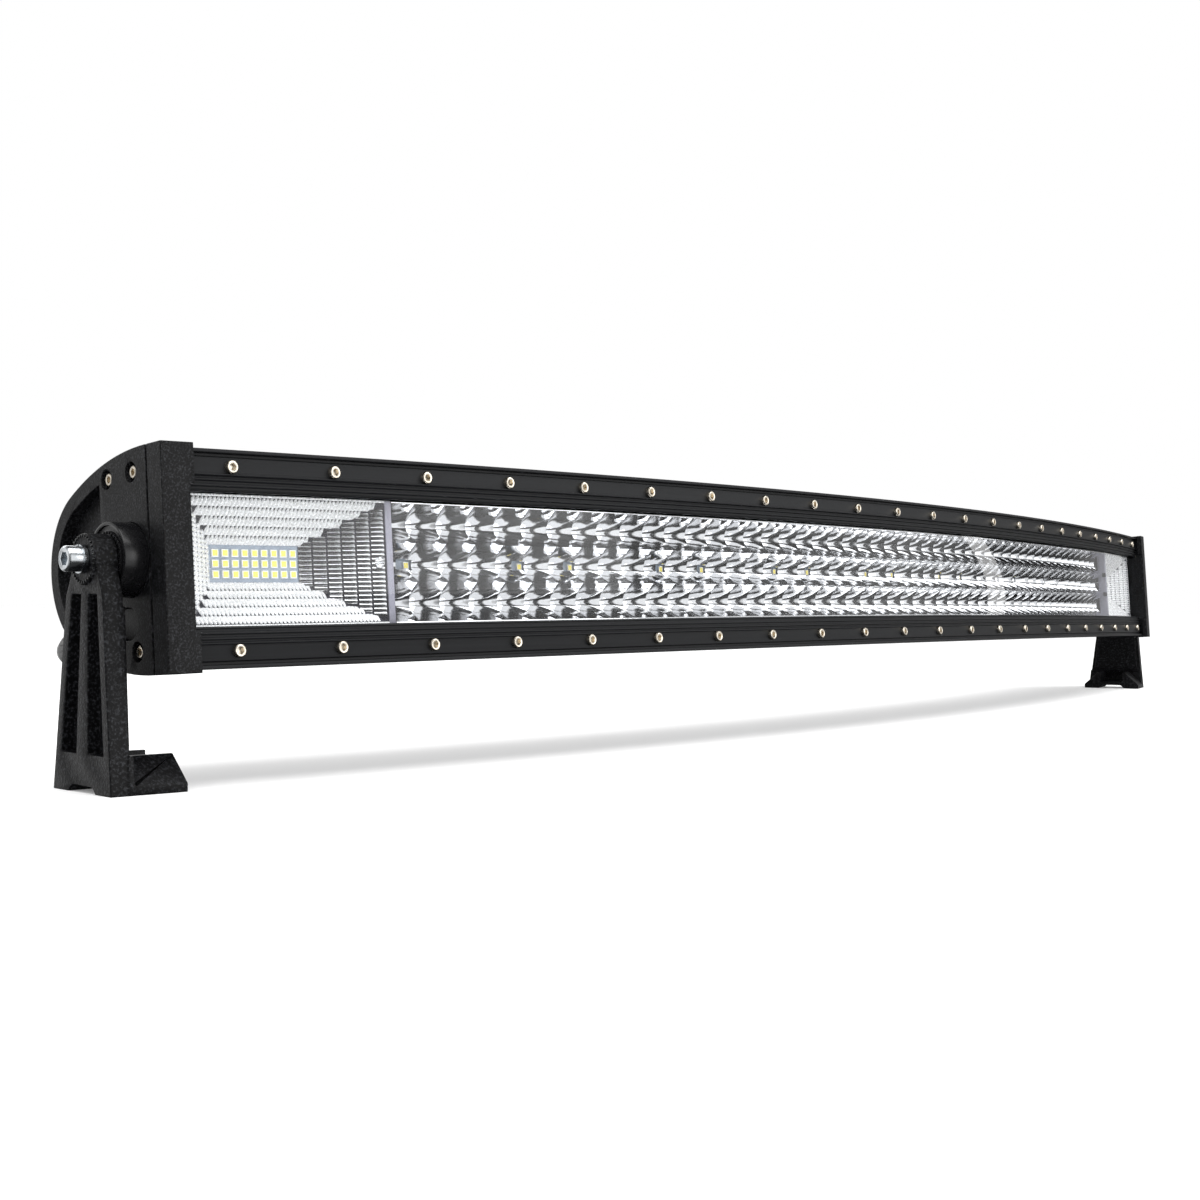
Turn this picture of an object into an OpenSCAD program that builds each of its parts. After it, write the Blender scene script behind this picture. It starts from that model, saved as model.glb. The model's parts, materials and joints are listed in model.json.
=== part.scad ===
// Curved three-row LED light bar on two tilting side brackets.
// The light is drawn in its own straight frame: x along the bar, y from front to rear, z up,
// with y = 0 at the bezel screw heads of the middle of the bar. Every long piece is swept about
// the bend centre, which lies behind the bar. aim() then tips the light up and lifts it on to
// the two bolt axes, and the brackets, hubs and bolts are drawn on those axes.

/* [Light bar] */
// Length of the light along its arc, from end cap face to end cap face
bar_length = 1119; // [1100:1:1140]
// Radius of the bend at the bezel screw heads
bend_r = 3064; // [2600:4:3600]
// Height of the end caps
cap_height = 89.6; // [86:0.2:92]
// Depth of the end caps behind the screw heads
cap_depth = 89.4; // [86:0.2:93]
// Tilt of the light above level when its feet stand flat
aim_tilt = 4; // [0:0.5:6]

/* [Bezel and lens] */
// Height of the two bezel strips together
bezel_height = 86.8; // [85:0.2:88]
// Distance between bezel screws along the arc
screw_pitch = 50; // [48:0.5:51]
// Screws in each bezel strip
screw_count = 22; // [20:1:22]
// Distance between the two rows of bezel screws
screw_rows = 73; // [72:0.5:74]
// Height of the clear lens plate
lens_height = 60.4; // [58:0.2:61]

/* [Reflectors and LEDs] */
// Length of the middle reflector along the arc
centre_length = 878; // [860:1:880]
// Height of one reflector row
row_height = 17.2; // [16.8:0.1:17.4]
// Depth of a reflector trough
trough_depth = 13.7; // [13:0.1:14]
// Side of one LED package
led_size = 3.2; // [2.8:0.1:3.5]
// Length of one reflector cell
cell_pitch = 17.84; // [17.6:0.02:18]
// LEDs along one end board
flood_columns = 9; // [7:1:9]
// Rows of LEDs on one end board
flood_rows = 3; // [2:1:3]

/* [Pivots] */
// Distance of the bolt axis behind the screw heads
pivot_depth = 22.5; // [21:0.5:24]
// Height of the bolt axis above the feet
pivot_h = 90; // [88:0.5:96]
// Diameter of the round hub on each end cap
hub_d = 29.5; // [28:0.5:31]
// Distance from the end cap face to the outer face of the bracket boss
bracket_out = 20; // [19.5:0.5:21]

/* [Brackets] */
// Width of the foot from front to rear
foot_width = 46.5; // [44:0.5:50]
// Length of the foot from its outer face inwards
foot_length = 33.7; // [32:0.1:36]
// Distance from the bolt axis to the front of the foot
foot_front = 21.5; // [20:0.5:24]
// Diameter of the bolt hole in the foot
foot_hole_d = 8.5; // [6.5:0.5:10.5]

/* [Cable gland] */
// Distance of the gland below the middle of the light
gland_drop = 32; // [31:0.5:33]
// Diameter of the cable hole in the gland
cable_d = 6; // [5:0.5:6]

/* [Hidden] */
$fn = 72;

// Depths behind the screw heads
lip_front = 0.4;
channel_floor = 2.0;
lens_front = 5.0;
lens_rear = 8.0;
flange_front = 8.5;
flange_rear = 13;
reflector_front = 9;
led_front = 24.0;
board_front = 24.8;
board_rear = 26.3;
spine_front = 26.4;
spine_rear = 30.4;
duct_rear = 54;

// Housing extrusion
cavity_wall = 3;
web_thick = 3.5;
duct_half = 12;
duct_wall = 2;
fin_pitch = 7.12;
fin_thick = 2;
screw_boss_r = 4;

// Half heights
cap_half = cap_height / 2;
bezel_half = bezel_height / 2;
bezel_inner = 26.6;
lens_half = lens_height / 2;
cavity_half = 27.5;
reflector_half = 26.8;

// Outline of the end cap: flat front, long flank arcs and a rounded rear
nose_r = 34;
flank_start = 8;
flank_dx = cap_depth - flank_start - nose_r;
flank_r = (flank_dx * flank_dx + cap_half * cap_half - nose_r * nose_r) / (2 * (cap_half - nose_r));
flank_join = flank_start + flank_dx * flank_r / (flank_r - nose_r);

// Positions along the arc, measured inwards from the end cap's outer face
cap_thick = 12.5;
gasket_thick = 1;
lip_front_of_cap = -4;
lip_thick = 14.5;
notch_depth = 2.7;
notch_half = 28.8;
groove_y = 6.6;
groove_width = 1.2;
groove_depth = 0.9;
end_arc = bar_length / 2;
housing_half = end_arc - cap_thick - gasket_thick;
bezel_end = end_arc - cap_thick - 0.4;
end_angle = end_arc / bend_r * 180 / PI;

// Middle of the bolt axis at the end cap face
pivot_x = (bend_r - pivot_depth) * sin(end_angle);
pivot_y = bend_r - (bend_r - pivot_depth) * cos(end_angle);
pivot_up = 1;
// Moves the whole model so that its box is centred from front to rear
centre_y = -68.1;

// Fasteners
m3_r = 1.5;
m3_hole_r = 1.6;
m3_head_r = 2.7;
m3_head_h = 2;
m3_socket_r = 1.45;
board_screw_r = 1.2;
board_hole_r = 1.3;
board_head_r = 2.2;
board_screw_z = 22;
board_screw_end = 29.2;
board_hole_end = 29.6;
centre_board_screws = [-420, -210, 0, 210, 420];
end_board_screws = [-540, -455];
all_board_screws = concat(centre_board_screws, end_board_screws, -end_board_screws);
m6_r = 3;
m6_hole_r = 3.08;
m6_head_r = 5;
m6_head_h = 6;
m6_socket_r = 2.9;
cap_screw_spots = [[19.5, 35.3], [39, 34.5], [19.5, -35.3], [39, -34.5]];
cap_screw_sink = 3.6;
cap_screw_sink_r = 4.1;
washer_thick = 1.6;
hub_sink = 1.2;
hub_out = 10;
hub_groove = [11, 13.2];
hub_groove_depth = 1.2;
gap = 0.3;
head_face = -bracket_out - gap - washer_thick;

// Flood reflector tray: its mouth and its LED window, along the arc and half heights
flood_outer = 541;
flood_inner = 443;
flood_divider = 439.2;
flood_mouth_half = 25.8;
window_outer = 522.8;
window_inner = 478.5;
window_half = 7.8;
flood_led_pitch_x = 4.8;
flood_led_pitch_z = 4.4;
post_r = 2.5;
post_arc = flood_inner + 2.4;

// LEDs of the middle row stand in pairs two cells apart, every sixth cell
first_led = -419.7;
led_cells = [for (n = [0 : 6 : 42]) each [n, n + 4]];

// Bracket, seen from its outer face
foot_rear = foot_width - foot_front;
foot_mid_y = (foot_rear - foot_front) / 2;
foot_hole_x = 22;
boss_r = 9.9;
shoulder_half = 14.2;
shoulder_drop = 14;
base_block = 15;
arm_front = 0.8;
arm_thick = 9.4;
arm_channel = 6.2;
panel_thick = 1.6;
ridge_h = 14.3;
side_h = 3.4;
pocket_half = 9.7;
pocket_floor = 6;
under_half = 8;
under_slope = 2.8;

// Cable gland: its place in the end cap, the depth of its seat and its radii
gland_x = 6.4;
gland_seat = 67;
gland_boss_front = 48;
gland_boss_r = 8.6;
gland_thread_r = 4.9;
gland_hex_r = 8;
gland_nut_r = 7.75;
gland_sleeve_r = 5.6;
gland_seal_r = 4.5;
gland_bore_r = cable_d / 2 + 0.6;

// --- placing -------------------------------------------------------------------------------

function arc_angle(a) = a / bend_r * 180 / PI;

// Tips the light up about its bolt axes and lifts it to their height
module aim() {
  translate([0, pivot_y + centre_y, pivot_h])
    rotate([-aim_tilt, 0, 0])
      translate([0, -pivot_y, -pivot_up])
        children();
}

// Sweeps a (depth, height) outline along the bar from arc position a0 to a1
module sweep(a0, a1) {
  translate([0, bend_r, 0])
    rotate([0, 0, arc_angle(a0) - 90])
      rotate_extrude(angle = arc_angle(a1 - a0), $fn = 720)
        translate([bend_r, 0])
          mirror([1, 0])
            children();
}

// Carries a straight piece to arc position a, with x along the bar there
module at_arc(a) {
  translate([0, bend_r, 0])
    rotate([0, 0, arc_angle(a)])
      translate([0, -bend_r, 0])
        children();
}

// Frame of the left end: x inwards from the cap's outer face, y rearwards
module at_left_end() {
  at_arc(-end_arc) children();
}

// Frame of the left bolt axis: x inwards from the cap's outer face, level and square to it
module at_left_pivot() {
  translate([-pivot_x, pivot_y + centre_y, pivot_h])
    rotate([0, 0, -end_angle])
      children();
}

module right_side() {
  mirror([1, 0, 0]) children();
}

module pin_x(x0, x1, r) {
  translate([x0, 0, 0]) rotate([0, 90, 0]) cylinder(r = r, h = x1 - x0);
}

module pin_y(y0, y1, r) {
  translate([0, y0, 0]) rotate([-90, 0, 0]) cylinder(r = r, h = y1 - y0);
}

module ring_y(y0, y1, r_out, r_in) {
  difference() {
    pin_y(y0, y1, r_out);
    pin_y(y0 - 1, y1 + 1, r_in);
  }
}

// Extrudes a (depth, height) outline along x
module slab_x(x0, x1) {
  translate([x0, 0, 0])
    rotate([90, 0, 90])
      linear_extrude(x1 - x0)
        children();
}

// --- outlines, as (depth, height) ----------------------------------------------------------

// End cap outline, drawn in by the given amount
module cap_outline(inset = 0) {
  translate([flank_start + flank_dx, 0]) circle(nose_r - inset);
  intersection() {
    translate([flank_start, cap_half - flank_r]) circle(flank_r - inset, $fn = 256);
    translate([flank_start, flank_r - cap_half]) circle(flank_r - inset, $fn = 256);
    translate([flank_start, -cap_half]) square([flank_join - flank_start, cap_height]);
  }
  translate([0, -cap_half + inset]) square([flank_start + 0.01, cap_height - 2 * inset]);
}

module upper_and_lower() {
  children();
  mirror([0, 1]) children();
}

// Housing extrusion: front flanges, cavity, spine, rear duct and cooling fins
module housing_outline() {
  difference() {
    union() {
      upper_and_lower() {
        translate([flange_front, cavity_half]) square([spine_rear - flange_front, cavity_wall]);
        translate([flange_front, lens_half + 0.5])
          square([flange_rear - flange_front, bezel_half - lens_half - 0.5]);
        for (spot = [cap_screw_spots[0], cap_screw_spots[1]]) translate(spot) circle(screw_boss_r);
        translate([spine_front, cavity_half]) square([spine_rear - spine_front, 10]);
      }
      translate([spine_front, -cavity_half - 1]) square([spine_rear - spine_front, 2 * cavity_half + 2]);
      translate([spine_rear - 1, -duct_half]) square([duct_rear - spine_rear + 1 + web_thick, 2 * duct_half]);
      intersection() {
        cap_outline(1.6);
        for (n = [-5 : 5])
          translate([abs(n) == 5 ? flange_front + 1 : spine_rear - 1, n * fin_pitch - fin_thick / 2])
            square([cap_depth, fin_thick]);
      }
    }
    duct_outline();
  }
}

// Space for the driver behind the spine
module duct_outline() {
  duct_front = spine_rear + 1.6;
  translate([duct_front, duct_wall - duct_half])
    square([duct_rear - duct_front, 2 * (duct_half - duct_wall)]);
}

// Upper bezel strip: outer lip, groove, screw channel and the fine ribs beside the lens
module bezel_outline() {
  rear_step = lens_half + 0.3;
  polygon([
    [flange_front - 0.1, bezel_half], [lip_front, bezel_half], [lip_front, 42.0], [3.0, 41.7],
    [3.0, 40.6], [channel_floor, 40.3], [channel_floor, 33.9], [1.1, 33.7], [1.1, 33.1],
    [2.6, 32.7], [2.6, 32.0], [1.9, 31.8], [1.9, 31.1], [2.9, 30.8], [2.9, 29.9],
    [2.3, 29.7], [2.3, 28.9], [3.3, 28.6], [3.3, 27.7], [2.9, 27.4], [3.4, bezel_inner],
    [lens_front - 0.6, bezel_inner], [lens_front - 0.6, rear_step], [flange_front - 0.1, rear_step]]);
}

// Three troughs side by side as a thin wall
module centre_reflector_outline() {
  trough_r = (pow(row_height / 2, 2) + pow(trough_depth, 2)) / (2 * trough_depth);
  wall = 1.2;
  middle = reflector_front + trough_depth - trough_r;
  difference() {
    union() {
      intersection() {
        for (row = [-1, 0, 1]) translate([middle, row * row_height]) circle(trough_r + wall);
        translate([reflector_front, -reflector_half]) square([20, 2 * reflector_half]);
      }
      upper_and_lower() translate([reflector_front, 25]) square([3, reflector_half - 25]);
    }
    for (row = [-1, 0, 1]) translate([middle, row * row_height]) circle(trough_r);
  }
}

// --- light: casing -------------------------------------------------------------------------

module bezel_screw_spots() {
  for (n = [0 : screw_count - 1]) at_arc((n - (screw_count - 1) / 2) * screw_pitch) children();
}

module housing() {
  color("#1b1c1e")
    aim()
      difference() {
        sweep(-housing_half, housing_half) housing_outline();
        for (row = [-1, 1])
          bezel_screw_spots()
            translate([0, 0, row * screw_rows / 2]) pin_y(flange_front - 1, flange_rear + 1, m3_hole_r);
        for (side = [-1, 1], spot = cap_screw_spots)
          at_arc(side * housing_half)
            translate([0, spot[0], spot[1]]) pin_x(-9, 9, m3_hole_r);
        board_screw_holes(all_board_screws);
        at_left_end() end_trim();
        right_side() at_left_end() end_trim();
        at_left_end() gland_notch();
      }
}

// What is sawn off an end of the housing to make it square to the cap
module end_trim() {
  reach = 20;
  translate([cap_thick + gasket_thick - reach, -cap_depth, -cap_height])
    cube([reach, 3 * cap_depth, 2 * cap_height]);
}

// Flat seat for the cable gland, open to the rear
module gland_notch() {
  translate([gland_x, 0, -gland_drop]) pin_y(gland_seat, cap_depth + 1, gland_boss_r);
}

module lens() {
  color("#dfe8ee", 0.35)
    aim()
      sweep(-bezel_end, bezel_end)
        translate([lens_front, -lens_half]) square([lens_rear - lens_front, lens_height]);
}

// Foam strips between the lens and the housing, above and below
module lens_gasket() {
  color("#303236")
    aim()
      sweep(-housing_half, housing_half)
        upper_and_lower()
          translate([lens_rear, lens_half - 2.6]) square([flange_front - lens_rear, 2.4]);
}

module bezel_strip() {
  difference() {
    sweep(-bezel_end, bezel_end) bezel_outline();
    bezel_screw_spots() translate([0, 0, screw_rows / 2]) pin_y(-1, flange_front + 1, m3_hole_r);
  }
}

module bezel_top() {
  color("#17181a") aim() bezel_strip();
}

module bezel_bottom() {
  color("#17181a") aim() mirror([0, 0, 1]) bezel_strip();
}

module socket_screw_y(length) {
  difference() {
    union() {
      pin_y(0, m3_head_h, m3_head_r);
      pin_y(m3_head_h - 0.5, length, m3_r);
    }
    rotate([-90, 0, 0]) translate([0, 0, -1]) cylinder(r = m3_socket_r, h = 2.3, $fn = 6);
  }
}

module bezel_screws_top() {
  color("#c9bfa8") aim() bezel_screw_spots() translate([0, 0, screw_rows / 2]) socket_screw_y(12.5);
}

module bezel_screws_bottom() {
  color("#c9bfa8") aim() bezel_screw_spots() translate([0, 0, -screw_rows / 2]) socket_screw_y(12.5);
}

// --- light: reflectors and LEDs ------------------------------------------------------------

module reflector_centre() {
  opening = 6;
  color("#d8dade")
    aim()
      difference() {
        sweep(-centre_length / 2, centre_length / 2) centre_reflector_outline();
        for (n = led_cells)
          at_arc(first_led + n * cell_pitch)
            translate([-opening / 2, led_front - 5, -opening / 2]) cube([opening, 6, opening]);
      }
}

// Tapering tray cavity between a mouth and a window, in the frame of the tray's middle
module tray_cavity(mouth, window, mouth_half, sill_half, y0, y1) {
  polyhedron(
    points = [
      [mouth[0], y0, -mouth_half], [mouth[1], y0, -mouth_half],
      [mouth[1], y0, mouth_half], [mouth[0], y0, mouth_half],
      [window[0], y1, -sill_half], [window[1], y1, -sill_half],
      [window[1], y1, sill_half], [window[0], y1, sill_half]],
    faces = [[3, 2, 1, 0], [4, 5, 6, 7], [0, 1, 5, 4], [1, 2, 6, 5], [2, 3, 7, 6], [3, 0, 4, 7]]);
}

module flood_tray() {
  wall = 0.9;
  middle = -(flood_outer + flood_inner) / 2;
  mouth = [-flood_outer - middle, -flood_inner - middle];
  window = [-window_outer - middle, -window_inner - middle];
  tray_rear = board_front - 0.3;
  lip = 1.5;
  at_arc(middle)
    difference() {
      union() {
        tray_cavity([mouth[0] - wall, mouth[1] + wall], [window[0] - wall, window[1] + wall],
          flood_mouth_half + wall, window_half + wall, reflector_front + 0.3, tray_rear);
        translate([mouth[0] - 4, reflector_front + 0.3, -reflector_half])
          cube([mouth[1] - mouth[0] + 4 + flood_inner - flood_divider, lip, 2 * reflector_half]);
      }
      tray_cavity(mouth, window, flood_mouth_half, window_half, reflector_front + 0.29, tray_rear + 0.01);
      translate([-post_arc - middle, 0, 0]) pin_y(reflector_front - 1, board_front, post_r + 0.1);
    }
}

module reflector_flood_left() {
  color("#e4e6e8") aim() flood_tray();
}

module reflector_flood_right() {
  color("#e4e6e8") aim() right_side() flood_tray();
}

// Clear posts that hold the inner ends of the flood trays down on the boards
module reflector_posts() {
  color("#e8eef0", 0.6)
    aim()
      for (side = [-1, 1])
        at_arc(side * post_arc) pin_y(reflector_front + 0.1, board_front - 0.1, post_r);
}

module board_strip(a0, a1) {
  sweep(a0, a1) translate([board_front, -26]) square([board_rear - board_front, 52]);
}

module board_screw_holes(places) {
  for (a = places, z = [-board_screw_z, board_screw_z])
    at_arc(a) translate([0, 0, z]) pin_y(board_front - 2, board_hole_end, board_hole_r);
}

module led_board_centre() {
  color("#c7d2e2") aim() difference() {
    board_strip(-centre_length / 2 + 1, centre_length / 2 - 1);
    board_screw_holes(centre_board_screws);
  }
}

module end_board() {
  difference() {
    board_strip(-housing_half + 2, -centre_length / 2 - 1);
    board_screw_holes(end_board_screws);
  }
}

module led_board_left() {
  color("#c7d2e2") aim() end_board();
}

module led_board_right() {
  color("#c7d2e2") aim() right_side() end_board();
}

module led_chip() {
  translate([-led_size / 2, led_front, -led_size / 2]) cube([led_size, board_front - led_front, led_size]);
}

module leds_centre() {
  color("#f3d24a") aim() for (n = led_cells) at_arc(first_led + n * cell_pitch) led_chip();
}

module flood_leds() {
  at_arc(-(window_outer + window_inner) / 2)
    for (i = [0 : flood_columns - 1], j = [0 : flood_rows - 1])
      translate([(i - (flood_columns - 1) / 2) * flood_led_pitch_x, 0,
                 (j - (flood_rows - 1) / 2) * flood_led_pitch_z])
        led_chip();
}

module leds_left() {
  color("#f3d24a") aim() flood_leds();
}

module leds_right() {
  color("#f3d24a") aim() right_side() flood_leds();
}

module board_screws() {
  color("#b9b9b4")
    aim()
      for (a = all_board_screws)
        for (z = [-board_screw_z, board_screw_z])
          at_arc(a)
            translate([0, 0, z])
              union() {
                pin_y(board_front - 0.9, board_front, board_head_r);
                pin_y(board_front - 0.5, board_screw_end, board_screw_r);
              }
}

// LED driver on its own board inside the rear duct, near the cable end
module driver_board() {
  length = 150;
  width = 18;
  board = 1.6;
  // coil, chip and terminal block, as [place along the board, length, height]
  blocks = [[12, 22, 9], [46, 12, 7], [104, 30, 4]];
  block_width = 12;
  capacitor_r = 5;
  color("#2f6b45")
    aim()
      at_arc(-380)
        translate([-length / 2, spine_rear + 4, -width / 2])
          union() {
            cube([length, board, width]);
            for (block = blocks)
              translate([block[0], board - 0.1, (width - block_width) / 2])
                cube([block[1], block[2], block_width]);
            for (x = [70, 86])
              translate([x, 0, width / 2]) pin_y(board - 0.1, board + 2 * capacitor_r, capacitor_r);
          }
}

// --- light: ends ---------------------------------------------------------------------------

module cap_screw_places() {
  for (spot = cap_screw_spots) translate([0, spot[0], spot[1]]) children();
}

// Recess in the cap's outer face behind and below the hub
module cap_recess_outline() {
  difference() {
    intersection() {
      cap_outline(6.5);
      union() {
        translate([45, -cap_half]) square([cap_depth, cap_height]);
        translate([25, -24]) circle(6.5);
        translate([25, -30.5]) square([30, 13]);
      }
    }
    for (spot = cap_screw_spots) translate(spot) circle(6);
  }
}

module end_cap_blank() {
  difference() {
    union() {
      slab_x(0, cap_thick) cap_outline();
      translate([0, lip_front_of_cap, -cap_half]) cube([cap_thick, -lip_front_of_cap + 0.01, cap_height]);
      for (z = [-cap_half, notch_half])
        translate([0, lip_front_of_cap, z]) cube([lip_thick, -lip_front_of_cap, cap_half - notch_half]);
      translate([0, lip_front_of_cap, -notch_half - 1])
        cube([lip_thick - notch_depth, -lip_front_of_cap, 2 * notch_half + 2]);
    }
    // groove down the side, between the front flange and the plate
    translate([-1, groove_y, -cap_half - 1]) cube([groove_depth + 1, groove_width, cap_height + 2]);
    for (z = [-cap_half - 1, cap_half - groove_depth])
      translate([-1, groove_y, z]) cube([cap_thick + 2, groove_width, groove_depth + 1]);
    cap_screw_places() {
      pin_x(-1, cap_screw_sink, cap_screw_sink_r);
      pin_x(-1, cap_thick + 1, m3_hole_r);
    }
  }
}

module cap_inner_hollow() {
  slab_x(7.5, cap_thick + 1)
    difference() {
      intersection() {
        cap_outline(5.5);
        translate([15, -cap_half]) square([cap_depth, cap_height]);
      }
      for (spot = cap_screw_spots) translate(spot) circle(5.5);
      translate([pivot_depth, pivot_up]) circle(10);
    }
}

// Left cap; the hub seat and the bolt hole follow the level bolt axis
module left_cap(with_gland) {
  difference() {
    aim()
      at_left_end()
        difference() {
          union() {
            difference() {
              end_cap_blank();
              slab_x(-1, 5) cap_recess_outline();
              cap_inner_hollow();
            }
            if (with_gland)
              intersection() {
                translate([gland_x, 0, -gland_drop]) pin_y(gland_boss_front, gland_seat, gland_boss_r);
                translate([0, 0, -cap_half]) cube([cap_thick, gland_seat + 1, cap_height]);
              }
          }
          if (with_gland) {
            gland_notch();
            translate([gland_x, 0, -gland_drop])
              pin_y(gland_boss_front + 4, gland_seat + 1, gland_thread_r + 0.1);
          }
        }
    at_left_pivot() {
      pin_x(-2, hub_sink, hub_d / 2 + 0.05);
      pin_x(0, 10, m6_r + 0.05);
    }
  }
}

module end_cap_left() {
  color("#1d1e20") left_cap(true);
}

module end_cap_right() {
  color("#1d1e20") right_side() left_cap(false);
}

// Flat gasket between the housing and the cap
module end_gasket(with_gland) {
  aim()
    at_left_end()
      slab_x(cap_thick, cap_thick + gasket_thick)
        difference() {
          intersection() {
            cap_outline(2.2);
            translate([flange_front, -cap_half]) square([cap_depth, cap_height]);
          }
          translate([0, -cavity_half]) square([spine_front, 2 * cavity_half]);
          duct_outline();
          for (spot = cap_screw_spots) translate(spot) circle(m3_hole_r + 0.1);
          if (with_gland) translate([gland_seat, -gland_drop - gland_boss_r]) square(2 * gland_boss_r);
        }
}

module end_gasket_left() {
  color("#3a3c40") end_gasket(true);
}

module end_gasket_right() {
  color("#3a3c40") right_side() end_gasket(false);
}

module cap_screws() {
  aim()
    at_left_end()
      cap_screw_places()
        difference() {
          union() {
            pin_x(cap_screw_sink - 3, cap_screw_sink, m3_head_r);
            pin_x(cap_screw_sink - 0.5, 21, m3_r);
          }
          rotate([0, 90, 0]) cylinder(r = m3_socket_r, h = 2.2, $fn = 6);
        }
}

module end_cap_screws_left() {
  color("#c9bfa8") cap_screws();
}

module end_cap_screws_right() {
  color("#c9bfa8") right_side() cap_screws();
}

// --- pivots --------------------------------------------------------------------------------

module hub() {
  at_left_pivot()
    difference() {
      pin_x(-hub_out, hub_sink, hub_d / 2);
      pin_x(-hub_out - 1, hub_sink + 1, m6_r + 0.05);
      difference() {
        pin_x(-hub_out - 1, -hub_out + hub_groove_depth, hub_groove[1]);
        pin_x(-hub_out - 2, -hub_out + hub_groove_depth + 1, hub_groove[0]);
      }
    }
}

module pivot_hub_left() {
  color("#202123") hub();
}

module pivot_hub_right() {
  color("#202123") right_side() hub();
}

module bolt() {
  at_left_pivot()
    difference() {
      union() {
        pin_x(head_face - m6_head_h, head_face, m6_head_r);
        pin_x(head_face - 1, 8.5, m6_r);
      }
      translate([head_face - m6_head_h - 1, 0, 0])
        rotate([0, 90, 0]) cylinder(r = m6_socket_r, h = 4.2, $fn = 6);
    }
}

module pivot_bolt_left() {
  color("#d5d8da") bolt();
}

module pivot_bolt_right() {
  color("#d5d8da") right_side() bolt();
}

module spring_washer() {
  at_left_pivot()
    difference() {
      pin_x(-bracket_out - gap - washer_thick + 0.01, -bracket_out - gap, 5.6);
      pin_x(-bracket_out - 4, -bracket_out + 1, m6_r + 0.05);
      translate([-bracket_out - 4, -0.4, 2]) cube([5, 0.8, 5]);
    }
}

module spring_washer_left() {
  color("#c4c7c9") spring_washer();
}

module spring_washer_right() {
  color("#c4c7c9") right_side() spring_washer();
}

// --- brackets ------------------------------------------------------------------------------

// Side view of the arm, as (rearward, up) from the bolt axis
module arm_outline() {
  circle(boss_r);
  polygon([
    [-boss_r * 0.96, -2.6], [-shoulder_half, -shoulder_drop], [-foot_front, -pivot_h],
    [foot_rear, -pivot_h], [shoulder_half + 1, -shoulder_drop], [boss_r * 0.96, -2.6]]);
}

// Two lightening channels in the outer face, parted by a middle rib
module channel_outline() {
  top_z = -13.5;
  low_z = -pivot_h + base_block;
  polygon([[-9.6, top_z], [-2.4, top_z], [-2.8, low_z], [-15.4, low_z]]);
  polygon([[3.0, top_z], [10.4, top_z], [18.6, low_z], [6.2, low_z]]);
}

// Outline of the foot seen from its inner end
module foot_outline() {
  low = -pivot_h;
  difference() {
    polygon([
      [-foot_front, low], [-foot_front, low + side_h], [-pocket_half, low + ridge_h],
      [pocket_half + 3.5, low + ridge_h], [foot_rear, low + side_h], [foot_rear, low]]);
    translate([foot_mid_y - pocket_half, low + pocket_floor]) square([2 * pocket_half, ridge_h]);
  }
}

function from_outer(x) = -bracket_out + x;

module bracket() {
  at_left_pivot()
    difference() {
      union() {
        slab_x(from_outer(0), from_outer(bracket_out - hub_out - gap)) circle(boss_r);
        slab_x(from_outer(arm_front), from_outer(arm_thick)) arm_outline();
        slab_x(from_outer(arm_thick - 1), from_outer(foot_length)) foot_outline();
        // raised panel on the inner face
        slab_x(from_outer(arm_thick - 1), from_outer(arm_thick + panel_thick))
          polygon([[-13, -18], [-17, -pivot_h + ridge_h + 3], [20, -pivot_h + ridge_h + 3], [14.5, -18]]);
        // the arm's foot end, thickened up to the root of the wings
        slab_x(from_outer(arm_thick - 1), from_outer(arm_thick + panel_thick))
          polygon([[-foot_front, -pivot_h], [-foot_front + 1.4, -pivot_h + base_block],
                   [foot_rear - 1.4, -pivot_h + base_block], [foot_rear, -pivot_h]]);
      }
      slab_x(from_outer(-1), from_outer(arm_channel)) channel_outline();
      // shallow channel under the foot
      slab_x(from_outer(-1), from_outer(foot_length + 1))
        translate([foot_mid_y, -pivot_h])
          polygon([[-under_half - under_slope, -1], [-under_half - under_slope, 0],
                   [-under_half, under_slope], [under_half, under_slope],
                   [under_half + under_slope, 0], [under_half + under_slope, -1]]);
      pin_x(from_outer(-1), from_outer(bracket_out), m6_hole_r);
      translate([from_outer(foot_hole_x), foot_mid_y, -pivot_h - 1])
        cylinder(r = foot_hole_d / 2, h = pocket_floor + 2);
    }
}

module bracket_left() {
  color("#222325") bracket();
}

module bracket_right() {
  color("#222325") right_side() bracket();
}

// --- cable gland ---------------------------------------------------------------------------

module at_gland() {
  aim() at_left_end() translate([gland_x, 0, -gland_drop]) children();
}

module gland_body() {
  hex_thick = 4.5;
  color("#1a1a1b")
    at_gland()
      difference() {
        union() {
          pin_y(gland_seat - 9, gland_seat + 0.5, gland_thread_r);
          translate([0, gland_seat, 0])
            rotate([-90, 30, 0]) cylinder(r = gland_hex_r, h = hex_thick, $fn = 6);
          pin_y(gland_seat + 1, gland_seat + 12, gland_sleeve_r);
        }
        pin_y(gland_seat - 10, gland_seat + 13, gland_bore_r);
        pin_y(gland_seat + 6, gland_seat + 13, gland_seal_r + 0.1);
      }
}

module gland_seal() {
  color("#101011") at_gland() ring_y(gland_seat + 6.1, gland_seat + 16.9, gland_seal_r, cable_d / 2 + 0.1);
}

module gland_nut() {
  nut_y = gland_seat + 4.8;
  dome_y = gland_seat + 19;
  color("#1a1a1b")
    at_gland()
      difference() {
        union() {
          pin_y(nut_y, dome_y - 3, gland_nut_r);
          translate([0, dome_y - 3.01, 0]) rotate([-90, 0, 0]) cylinder(r1 = gland_nut_r, r2 = 5, h = 7);
        }
        pin_y(nut_y - 1, dome_y - 6.9, gland_sleeve_r + 0.1);
        pin_y(nut_y - 1, dome_y - 2, gland_seal_r + 0.1);
        pin_y(nut_y, dome_y + 6, gland_bore_r);
      }
}

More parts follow.
